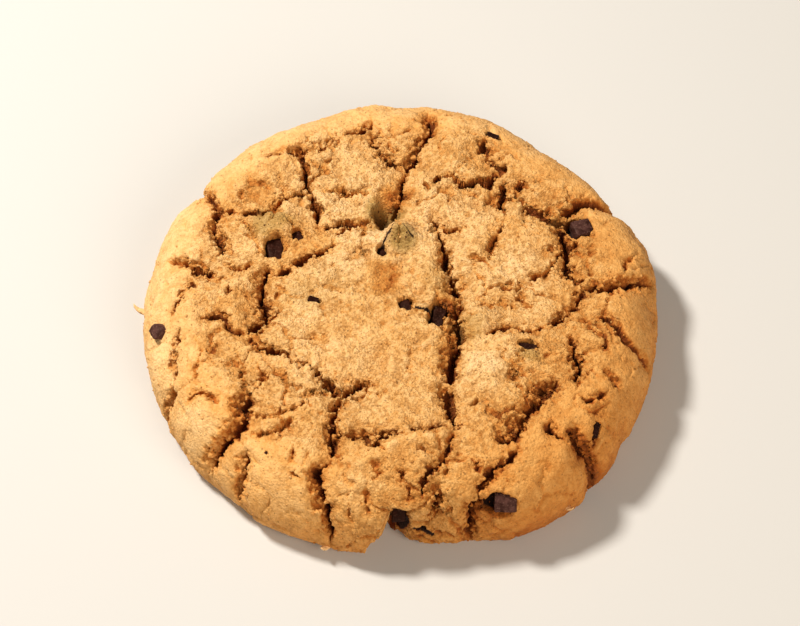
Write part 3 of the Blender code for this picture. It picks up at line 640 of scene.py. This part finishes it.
# Painted shade: the lower grains, in the hollows of the crumb, are marked to be coloured darker
standing = coarse * 0.3 + middling * 0.4 + fine * 0.35 + lumpy * 0.18
sunken = 1 - ease(*np.percentile(standing, (12, 82)), standing)
places[:, 2] = np.maximum(places[:, 2], 0.0)
set_places(sheet, places * MM)
sheet.normal_update()
outward = np.array([vertex.normal[:] for vertex in sheet.verts])
crumbed = places
for vertex in sheet.verts:
    if vertex.is_boundary:
        vertex.co.z = 0.0

# How brown the crust is coloured: palest in the middle and at the back left, most at the front and the right
# side and towards the foot. Towards the front right, the side turned from the key light, this darkening is
# painted shade;
# towards the foot it is partly browning and partly painted shade. The patches that are browner or paler, and
# those where the dough is thin over chocolate and looks dull: where each is, its radius in mm and how strong.
BROWNING_REACH = 44
# Several browner patches are painted shade: in the valley north of the highest hump, at the north-west edge
# of the middle plate, in the dent at the back left and beside the chunk east of the middle
TOASTED_AND_SHADED_SPOTS = (
    (-3.2, 2.8, 3.4, 1),
    (-24.2, 20.6, 2.8, 0.7),
    (-15.5, 9.8, 3.5, 0.5),
    (-27, -1.5, 3, 0.4),
    (9.5, -10, 3, 0.5),
    (-27.5, 21, 4, 0.2),
    (18, 12, 4, 0.3),
    (-10, -6, 5, 0.25),
    (2.5, 36, 4, 0.35),
    (-0.4, 20, 2.8, 0.8),
    (-18, 11.6, 3.6, 0.6),
    (-13.6, 11.6, 2.6, 0.5),
    (7.8, -2.6, 2, 1),
)
# Several paler patches are painted light: on the left slope of the highest hump and along the crest of the
# front lip, where the key light falls; those along the left rim, which faces the key light, are partly
# painted light
PALE_AND_LIT_SPOTS = (
    (-38, 15, 9, 0.15),
    (-3.9, 11, 2, 2.2),
    (-1.2, -31.4, 1.2, 1.2),
    (2, -30.6, 1.2, 1.3),
    (4.8, -29.7, 1.2, 1.4),
    (7.4, -28.9, 1.2, 1.2),
    (-42, 2, 7, 0.6),
    (-28, 29, 7, 0.15),
    (-44, -12, 6, 0.8),
    (-36, -27, 6, 0.9),
    (15, -17, 6.5, 0.9),
    (21, 6, 6, 0.4),
    (30, -16, 5, 0.2),
    (-6, -38, 4, 0.7),
)
# Two dull patches are partly painted shade: over the deep hollow and on the right side of the highest hump,
# which turns from the key light
THIN_AND_SHADED_SPOTS = (
    (-21.8, 13.8, 3.7, 1.05),
    (0.5, 9, 2.7, 1.4),
    (-2.8, 16, 3.6, 1.2),
    (6, 2.5, 3, 0.35),
    (11.8, -7.6, 2.9, 0.6),
    (21.6, -12.6, 2.2, 0.9),
    (-16, -0.5, 4.5, 0.35),
    (-11, 2, 5, 0.2),
    (26.5, 14.6, 1.6, 0.5),
)


def spots(u, v, places):
    """Soft round patches, 0 to 1, that their own noise makes uneven."""
    share = np.zeros_like(u)
    for spot_u, spot_v, radius, strength in places:
        away = np.hypot(u - spot_u, v - spot_v) / radius + 0.35 * waves(u, v, 2.4, 95)
        share = np.maximum(share, strength * (1 - ease(0.45, 1.25, away)))
    return share


outwards = np.hypot(u, v) / BROWNING_REACH
# Painted shade: darker towards the front right, the side turned from the key light
towards_shaded_side = (u * 0.86 - v * 0.5) / BROWNING_REACH
browned = 0.2 + 0.14 * ease(0.45, 0.75, outwards) + 0.16 * towards_shaded_side * outwards
browned += 0.05 * waves(u, v, 12.0, 96) + 0.05 * waves(u, v, 5.0, 97) + 0.16 * valley_browning_and_shade
hollowed = 1 - ease(0.75, 1.1, in_hollow + 0.15 * waves(u, v, 1.5, 47))
browned += (
    # In the deep hollow: browner and darkest to the south, partly browning and partly painted shade
    hollowed * (0.25 + 0.25 * ease(18.5, 14.0, v))
    + 0.34 * spots(u, v, TOASTED_AND_SHADED_SPOTS)
    - 0.14 * spots(u, v, PALE_AND_LIT_SPOTS)
    # Browner lower down the side: partly browning and partly painted shade
    + 0.12 * ease(12.0, 3.0, points[:, 2])
)
# Painted shade: the south part of the deep hollow gets the dark smear colour
smeared = np.maximum(smeared, hollowed * 0.56 * ease(20.5, 16.0, v))
# Painted shade: darker round each chunk's window, where the chunk shades the dough
browned += 0.3 * beside_window
shares = {
    "torn": torn,
    "deep": deep,
    "rim": rim,
    "sunken": sunken,
    "smeared": smeared,
    "browned": np.clip(browned, 0, 1),
    "bordering": bordering,
    "pitted": pits,
    "thin": spots(u, v, THIN_AND_SHADED_SPOTS) * (1 - beside_window),
}
# The shares go into the mesh for the material, and the care is a weight that the thinning reads
care = sheet.verts.layers.deform.verify()
for vertex, weight in zip(sheet.verts, np.clip(bordering + torn, 0, 0.9).tolist()):
    vertex[care][0] = weight
for name in shares:
    sheet.verts.layers.float.new(name)
share_layers = {name: sheet.verts.layers.float[name] for name in shares}
for name, values in shares.items():
    for vertex, value in zip(sheet.verts, values.tolist()):
        vertex[share_layers[name]] = value

# The flat underside that baked on the tray, a little pitted: the edge of the foot drawn in, ring by
# ring, to a smooth middle that is this share of its size
UNDER_RINGS = 40
UNDER_MIDDLE = 0.08
UNDER_SMOOTH = 0.2
foot_edge = [edge for edge in sheet.edges if edge.is_boundary]
size_before = 1.0
for ring_size in np.linspace(1.0, UNDER_MIDDLE, UNDER_RINGS + 1)[1:]:
    drawn_in = bmesh.ops.extrude_edge_only(sheet, edges=foot_edge)["geom"]
    ring = [item for item in drawn_in if isinstance(item, bmesh.types.BMVert)]
    foot_edge = [item for item in drawn_in if isinstance(item, bmesh.types.BMEdge) and item.is_boundary]
    ring_places = np.array([vertex.co[:2] for vertex in ring]) * ring_size / size_before / MM
    under_u, under_v = ring_places[:, 0], ring_places[:, 1]
    tray_pits = 0.22 * ease(0.1, 0.7, waves(under_u, under_v, 2.2, 91))
    tray_pits += 0.14 * ease(0.2, 0.7, waves(under_u, under_v, 0.9, 92))
    tray_pits *= ease(UNDER_MIDDLE, UNDER_SMOOTH, ring_size)
    under_browned = 0.5 + 0.1 * waves(under_u, under_v, 7.0, 93) + 0.06 * waves(under_u, under_v, 2.0, 94)
    under_browned = under_browned - 0.9 * tray_pits
    for vertex, right, back, pit, shade in zip(ring, under_u, under_v, tray_pits, under_browned):
        vertex.co = Vector((right, back, pit)) * MM
        vertex[care][0] = 0.0
        for name in shares:
            vertex[share_layers[name]] = float(shade) if name == "browned" else 0.0
    size_before = ring_size
bmesh.ops.edgeloop_fill(sheet, edges=foot_edge)
bmesh.ops.recalc_face_normals(sheet, faces=sheet.faces)


def finish_mesh(name, mesh_edit):
    """Turns an edited mesh into a finished one and lets the edited one go."""
    mesh = bpy.data.meshes.new(name)
    mesh_edit.to_mesh(mesh)
    mesh_edit.free()
    return mesh


def put_in_scene(name, data):
    """A new object at the origin, with this mesh, light or camera."""
    made = bpy.data.objects.new(name, data)
    bpy.context.scene.collection.objects.link(made)
    return made


def add_piece(name, mesh_edit, finish):
    """Makes a finished, smooth piece of the cookie, which rides on its one body."""
    for face in mesh_edit.faces:
        face.smooth = True
    mesh = finish_mesh(name, mesh_edit)
    mesh.materials.append(finish)
    piece = put_in_scene(name, mesh)
    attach(piece, "root")
    return piece


class Signal:
    """An output socket in a material. Sums with numbers and other signals add Math nodes."""

    def __init__(self, tree, socket=None):
        self.tree = tree
        self.socket = socket

    def node(self, kind, settings, inputs, output=0):
        """Adds a node with these settings and inputs, and gives one of its outputs."""
        made = self.tree.nodes.new(kind)
        for name, value in settings.items():
            if name == "stops":
                ramp = made.color_ramp
                while len(ramp.elements) < len(value):
                    ramp.elements.new(1.0)
                for element, (position, colour) in zip(ramp.elements, value):
                    element.position = position
                    element.color = colour
            else:
                setattr(made, name, value)
        for name, value in inputs.items():
            if isinstance(value, Signal):
                self.tree.links.new(value.socket, made.inputs[name])
            else:
                made.inputs[name].default_value = value
        return Signal(self.tree, made.outputs[output])

    def maths(self, operation, first, second):
        return self.node("ShaderNodeMath", {"operation": operation}, {0: first, 1: second})

    def __add__(self, other):
        return self.maths("ADD", self, other)

    def __sub__(self, other):
        return self.maths("SUBTRACT", self, other)

    def __mul__(self, other):
        return self.maths("MULTIPLY", self, other)

    def __rsub__(self, other):
        return self.maths("SUBTRACT", other, self)

    __radd__ = __add__
    __rmul__ = __mul__

    def between(self, low, high):
        """0 where this signal is below low, 1 above high, and a smooth step between."""
        return self.node(
            "ShaderNodeMapRange",
            {"interpolation_type": "SMOOTHSTEP"},
            {"Value": self, "From Min": low, "From Max": high},
        )

    def mix(self, below, above):
        """The colour below where this signal is 0, and the colour above where it is 1."""
        return self.node("ShaderNodeMix", {"data_type": "RGBA"}, {0: self, 6: below, 7: above}, output=2)

    def noise(self, per_mm, detail, roughness):
        """Cloudy noise over these places, with so many lumps to the millimetre."""
        inputs = {"Vector": self, "Scale": per_mm / MM, "Detail": detail, "Roughness": roughness}
        return self.node("ShaderNodeTexNoise", {}, inputs)

    def cells(self, per_mm, output):
        """Cells over these places, so many to the millimetre: each one's colour, or how far off it is."""
        inputs = {"Vector": self, "Scale": per_mm / MM, "Randomness": 1.0}
        return self.node("ShaderNodeTexVoronoi", {}, inputs, output)

    def lead_to(self, shader, name):
        """Feeds this signal to one of the shader's inputs."""
        self.tree.links.new(self.socket, shader.inputs[name])


def srgb(red, green, blue):
    """A colour as a screen shows it, from 0 to 255, made linear."""
    shares = [value / 255 for value in (red, green, blue)]
    linear = [s / 12.92 if s <= 0.04045 else ((s + 0.055) / 1.055) ** 2.4 for s in shares]
    return (*linear, 1.0)


def start_material(name):
    """A new material, a signal to add nodes with, and its shader."""
    made = bpy.data.materials.new(name)
    made.use_nodes = True
    return made, Signal(made.node_tree), made.node_tree.nodes["Principled BSDF"]


baked, signal, shader = start_material("baked_dough")
place = signal.node("ShaderNodeTexCoord", {}, {}, "Object")
share = {name: signal.node("ShaderNodeAttribute", {"attribute_name": name}, {}, "Fac") for name in shares}
crumbs = place.noise(1.0, 6.0, 0.72)
sand = place.noise(2.3, 3.0, 0.75)
patches = place.noise(0.32, 3.0, 0.6)
grit = place.cells(3.0, "Color")
clumps = place.cells(1.6, "Color")
spice_reach = place.cells(1.4, "Distance")
spice_size = place.cells(1.4, "Color")
pebbles = place.cells(2.3, "Distance")
plain = share["rim"] * -0.5 + 1
grain = (share["sunken"] - 0.4) * 0.14 + (0.5 - crumbs) * 0.3 + (0.5 - clumps) * 0.12
fine_grain = (0.5 - sand) * 1.2 + (0.5 - grit) * 0.5 + (pebbles - 0.45) * 0.4 + (share["sunken"] - 0.4) * 0.3
darker = share["browned"] + grain * plain + (patches - 0.5) * 0.25 + share["bordering"] * 0.1
# Painted shade: the small pits are coloured darker
darker = darker + share["torn"] * 0.16 + share["torn"] * (grain + fine_grain) * 0.35 + share["pitted"] * 0.18
# Deep in the cracks and in the front hollow of the foot the colour darkens: partly browner crumb, partly
# painted shade
darker = darker + share["deep"] * 0.5
baked_and_shaded = darker.node(
    "ShaderNodeValToRGB",
    {
        "stops": (
            (0.0, srgb(250, 206, 146)),
            (0.2, srgb(240, 189, 121)),
            (0.4, srgb(226, 165, 90)),
            (0.6, srgb(207, 136, 59)),
            (0.8, srgb(176, 94, 22)),
            (1.0, srgb(120, 54, 4)),
        )
    },
    {"Fac": darker},
)
grit_share = fine_grain.between(-0.2, 0.5) * plain * (share["deep"] * -0.5 + 0.68)
gritty = grit_share.mix(baked_and_shaded, srgb(152, 98, 38))
dulled_and_shaded = (share["thin"] * 0.6).mix(gritty, srgb(164, 130, 66))
specks = (spice_reach - spice_size * 0.36).between(0.0, -0.1) * (share["thin"] * 0.55 + 0.45)
speckled = specks.mix(dulled_and_shaded, srgb(104, 62, 24))
# The dark smear colour: chocolate smeared in the windows and slits, and painted shade in the front hollow of
# the foot and in the deep hollow
smear_and_shade_colour = share["smeared"].between(0.3, 0.8).mix(speckled, srgb(40, 17, 8))
shader.inputs["Roughness"].default_value = 0.85
shader.inputs["Specular IOR Level"].default_value = 0.3
smear_and_shade_colour.lead_to(shader, "Base Color")
height = (crumbs * 0.8 + sand * 0.4 + grit * 0.1 - pebbles * 0.6 - specks * 0.3) * plain
bump = signal.node("ShaderNodeBump", {}, {"Height": height, "Distance": 0.45 * MM, "Strength": 1.0})
bump.lead_to(shader, "Normal")

dough = add_piece("baked_cookie", sheet, baked)
thinning = dough.modifiers.new("thinning", "DECIMATE")
thinning.vertex_group = dough.vertex_groups.new(name="detail").name
thinning.invert_vertex_group = True
thinning.vertex_group_factor = EDGE_CARE
thinning.ratio = min(1.0, DOUGH_TRIANGLES / sum(len(face.vertices) - 2 for face in dough.data.polygons))
evaluated = dough.evaluated_get(bpy.context.evaluated_depsgraph_get())
thinned = bpy.data.meshes.new_from_object(evaluated)
dough.modifiers.clear()
dough.vertex_groups.clear()
dough.data = thinned
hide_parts("dough")


# The loose crumbs: grains of the same dough that broke off where the crust tore and baked on to the
# edges of the cracks, with a few stuck to the chocolate.
CRUMB_COUNT = 2400
CRUMB_BATCH = 60
CRUMB_RADIUS = (0.12, 0.3)
wish = (0.8 * torn + 0.25 * bordering) * (1 - 0.7 * deep) * (1 - 0.5 * rim) * (1 - windows) + 0.02
wish *= near_foot
serial = np.arange(len(wish))
chosen = np.flatnonzero(scatter(151, serial) < wish * CRUMB_COUNT / wish.sum())
draws = np.column_stack([scatter(seed, chosen) for seed in range(152, 158)])


def join_on(whole, part):
    """Adds a part's mesh to the whole of its piece."""
    part_mesh = finish_mesh("part", part)
    whole.from_mesh(part_mesh)
    bpy.data.meshes.remove(part_mesh)


loose = bmesh.new()
for start in range(0, len(chosen), CRUMB_BATCH):
    batch = slice(start, start + CRUMB_BATCH)
    handful = bmesh.new()
    crumb_tone = handful.verts.layers.float.new("browned")
    crumb_torn = handful.verts.layers.float.new("torn")
    for index, (big, wide, long, tall, spin, tip) in zip(chosen[batch].tolist(), draws[batch].tolist()):
        radius = (CRUMB_RADIUS[0] + (CRUMB_RADIUS[1] - CRUMB_RADIUS[0]) * big**2) * MM
        stretch = Matrix.Diagonal((0.8 + 0.6 * wide, 0.8 + 0.5 * long, 0.7 + 0.3 * tall, 1))
        turned = Matrix.Rotation(math.tau * spin, 4, "Z") @ Matrix.Rotation(math.pi * tip, 4, "X")
        middle = Vector(crumbed[index]) * MM + Vector(outward[index]) * radius * 0.1
        middle.z = max(middle.z, radius)
        added = bmesh.ops.create_icosphere(
            handful, subdivisions=1, radius=radius, matrix=Matrix.Translation(middle) @ turned @ stretch
        )
        for vertex in added["verts"]:
            vertex[crumb_tone] = shares["browned"][index] + 0.2 * long + 0.02
            vertex[crumb_torn] = shares["torn"][index]
    join_on(loose, handful)
add_piece("loose_crumbs", loose, baked)


# The flakes: thin curls of crust that lifted where the rim tore, each still held at one end. Each has
# its place, length, width, heading in degrees, curl, and how far its tip swerves aside.
FLAKE_THICKNESS = 0.42
# The flakes are coloured paler than the crust, partly as painted light on the faces turned from the key light
FLAKE_PALER = -0.12
FLAKES = (
    (-49.8, 2.9, 2.7, 1.15, 180, 0.55, -1),
    (-14.6, -50.6, 2.4, 1.2, 235, 1, 0),
    (31.6, -41.2, 1.5, 1, 310, 0.8, 0.3),
)


def soften(mesh_edit, factor):
    """Rounds a mesh a little by moving its points towards their neighbours."""
    bmesh.ops.smooth_vert(
        mesh_edit, verts=mesh_edit.verts, factor=factor, use_axis_x=True, use_axis_y=True, use_axis_z=True
    )


flakes = bmesh.new()
for root_u, root_v, length, width, heading, curl, swerve in FLAKES:
    root, _ = skin(np.array([root_u]), np.array([root_v]))
    ahead = np.array((math.cos(math.radians(heading)), math.sin(math.radians(heading)), 0.0))
    aside = np.array((-ahead[1], ahead[0], 0.0))
    strip = bmesh.new()
    bmesh.ops.create_grid(strip, x_segments=9, y_segments=4, size=1.0)
    for vertex in strip.verts:
        along = (vertex.co.x + 1) / 2
        bend = curl * along
        forward = length * (math.sin(bend) / curl - 0.25)
        lifted = length * (1 - math.cos(bend)) / curl
        sideways_by = width / 2 * vertex.co.y * (1 - 0.55 * along**2) + swerve * along**3
        upwards = np.array((0, 0, lifted - 0.1 * vertex.co.y**2))
        vertex.co = Vector(root[0] + ahead * forward + aside * sideways_by + upwards) * MM
    bmesh.ops.solidify(strip, geom=strip.faces, thickness=FLAKE_THICKNESS * MM)
    bmesh.ops.subdivide_edges(strip, edges=strip.edges, cuts=1, use_grid_fill=True)
    soften(strip, 0.5)
    join_on(flakes, strip)
bmesh.ops.recalc_face_normals(flakes, faces=flakes.faces)
flake_tone = flakes.verts.layers.float.new("browned")
flake_rim = flakes.verts.layers.float.new("rim")
for vertex in flakes.verts:
    vertex[flake_tone] = FLAKE_PALER
    vertex[flake_rim] = 1.0
add_piece("crust_flakes", flakes, baked)


# The chocolate: chunks of a dark bar that broke with uneven corners, melted a little in the oven and
# set again, so their edges are soft and their faces have a dull sheen with a dusting of crumb.
def chocolate(name, dust, darkest, palest):
    """A chocolate with this much dust of crumb on it, from 0 to 1."""
    made, signal, shader = start_material(name)
    place = signal.node("ShaderNodeTexCoord", {}, {}, "Object")
    cloud = place.noise(0.8, 4.0, 0.65)
    powder = place.noise(3.0, 4.0, 0.7)
    dark = cloud.between(0.35, 0.7).mix(darkest, palest)
    dusty = (powder.between(0.52, 0.7) * dust).mix(dark, srgb(140, 104, 88))
    dusty.lead_to(shader, "Base Color")
    dull = cloud.between(0.3, 0.7) * 0.2 + 0.4
    dull.lead_to(shader, "Roughness")
    shader.inputs["Specular IOR Level"].default_value = 0.1
    shader.inputs["Specular Tint"].default_value = srgb(255, 204, 176)
    height = cloud * 0.6 + powder * 0.4
    bump = signal.node("ShaderNodeBump", {}, {"Height": height, "Distance": 0.12 * MM, "Strength": 0.7})
    bump.lead_to(shader, "Normal")
    return made


# The dark chocolate is darker than the dusty one, partly as painted shade on chunks that sit in shadow; the
# dusty one is paler, partly for its dust and partly as painted light
shaded_chocolate = chocolate("dark_chocolate", 0.2, srgb(26, 8, 4), srgb(44, 17, 10))
dusty_lit_chocolate = chocolate("dusty_lit_chocolate", 0.6, srgb(46, 24, 20), srgb(84, 54, 48))
CHUNK_CREASE = math.radians(28)
# One chunk kept the square shape of the bar: its sides in mm, and its tilt. Then the chunks dusted with
# crumb, which also get the paler chocolate, partly as painted light, and how each melted and settled: its
# scale, and its shift in mm.
SQUARE_CHUNK = "chunk_south_east"
SQUARE_SIZE = (3.7, 3.3, 2.8)
SQUARE_TILT = math.radians(38)
DUSTY_AND_LIT = ("chunk_north_east", "chunk_west_rim", "chunk_south_east")
UNWORN = ((1, 1, 1), (0, 0, 0))
WORN = {
    "chunk_north_west": ((1, 1.15, 1), (0, 1.1, -0.2)),
    "chunk_north_west_small": ((1, 1, 1), (0.1, 0.4, 0)),
    "chunk_north_east": ((0.8, 0.85, 0.8), (0.3, 0, 0)),
    "chunk_south_east": ((1, 1, 1), (1.15, -0.6, 0)),
    "chunk_south_west": ((0.55, 0.55, 0.55), (0, 0, 0)),
    "chunk_west_rim": ((1.15, 0.8, 0.55), (-0.1, 0.3, 0.7)),
    "chunk_middle_east": ((0.9, 1.4, 1), (0, 0.2, -1)),
    "chunk_under_hump": ((0.8, 0.8, 0.9), (0, 0, -0.2)),
    "chunk_middle": ((1.1, 1.3, 0.9), (0, 0, -0.3)),
    "chunk_north_rim": ((0.9, 1, 1), (-0.3, 0.8, 0)),
    "chunk_south": ((1, 1, 1), (0.1, 1.8, -1)),
    "chunk_south_low": ((1, 1, 0.6), (0.2, 1.7, -2.5)),
}
for number, name in enumerate(WINDOWS):
    chunk = bmesh.new()
    chunk.from_mesh(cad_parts[name].data)
    if name == SQUARE_CHUNK:
        middle = Matrix.Translation(read_places(chunk).mean(0))
        bmesh.ops.delete(chunk, geom=chunk.verts, context="VERTS")
        tilted = middle @ Matrix.Rotation(SQUARE_TILT, 4, "X") @ Matrix.Diagonal((*SQUARE_SIZE, 1.0))
        bmesh.ops.create_cube(chunk, size=MM, matrix=tilted)
        bmesh.ops.bevel(
            chunk, geom=chunk.edges, offset=0.2 * MM, affect="EDGES", segments=2, profile=0.5, material=-1
        )
    bmesh.ops.remove_doubles(chunk, verts=chunk.verts, dist=0.01 * MM)
    bmesh.ops.subdivide_edges(chunk, edges=chunk.edges, cuts=3, use_grid_fill=True)
    bmesh.ops.triangulate(chunk, faces=chunk.faces)
    soften(chunk, 0.35)
    chunk.normal_update()
    rough = read_places(chunk) / MM
    facing = np.array([vertex.normal[:] for vertex in chunk.verts])
    chip = 0.1 * waves(rough[:, 0] + rough[:, 2], rough[:, 1] - rough[:, 2], 1.3, 101 + number)
    chip += 0.05 * waves(rough[:, 0] - rough[:, 2], rough[:, 1] + rough[:, 2], 0.5, 131 + number)
    rough = rough + facing * chip[:, None]
    scale, shift = WORN.get(name, UNWORN)
    rough = rough.mean(0) + (rough - rough.mean(0)) * np.array(scale) + np.array(shift)
    set_places(chunk, rough * MM)
    bmesh.ops.recalc_face_normals(chunk, faces=chunk.faces)
    for edge in chunk.edges:
        edge.smooth = edge.calc_face_angle(0.0) < CHUNK_CREASE
    finish = dusty_lit_chocolate if name in DUSTY_AND_LIT else shaded_chocolate
    piece = add_piece(name.replace("chunk", "chocolate"), chunk, finish)
    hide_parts(name)


# The studio: a plain pale floor, one large soft key light from the back left, a weak fill and a pale
# surround, with the camera above the front edge
floor_edit = bmesh.new()
bmesh.ops.create_grid(floor_edit, x_segments=1, y_segments=1, size=3.0)
floor_mesh = finish_mesh("floor", floor_edit)
floor = put_in_scene("floor", floor_mesh)
pale, signal, shader = start_material("pale_floor")
shader.inputs["Base Color"].default_value = srgb(204, 202, 198)
shader.inputs["Roughness"].default_value = 0.9
floor_mesh.materials.append(pale)


def add_light(name, place, size, power, colour):
    """A round, soft light at a place in metres, turned to the middle of the floor."""
    lamp = bpy.data.lights.new(name, "AREA")
    lamp.shape = "DISK"
    lamp.size = size
    lamp.energy = power
    lamp.color = colour
    light = put_in_scene(name, lamp)
    light.location = place
    light.rotation_euler = (-Vector(place)).to_track_quat("-Z", "Y").to_euler()


add_light("key", (-0.31, 0.17, 0.51), 0.1, 5.1, (1.0, 0.95, 0.88))
add_light("fill", (0.32, -0.48, 0.4), 0.5, 3.1, (1.0, 0.88, 0.74))
world = bpy.data.worlds.new("surround")
bpy.context.scene.world = world
world.use_nodes = True
world.node_tree.nodes["Background"].inputs["Color"].default_value = (1.0, 0.94, 0.86, 1.0)
world.node_tree.nodes["Background"].inputs["Strength"].default_value = 0.15
bpy.context.scene.view_settings.view_transform = "Standard"

CAMERA_ELEVATION = math.radians(56)
CAMERA_DISTANCE = 0.6
camera_data = bpy.data.cameras.new("camera")
camera_data.lens = 158
camera_data.sensor_width = 36
camera = put_in_scene("camera", camera_data)
aim = Vector((0.0, 2.0 * MM, 6.0 * MM))
camera.location = aim + Vector((0, -math.cos(CAMERA_ELEVATION), math.sin(CAMERA_ELEVATION))) * CAMERA_DISTANCE
camera.rotation_euler = (math.pi / 2 - CAMERA_ELEVATION, 0, 0)
bpy.context.scene.camera = camera
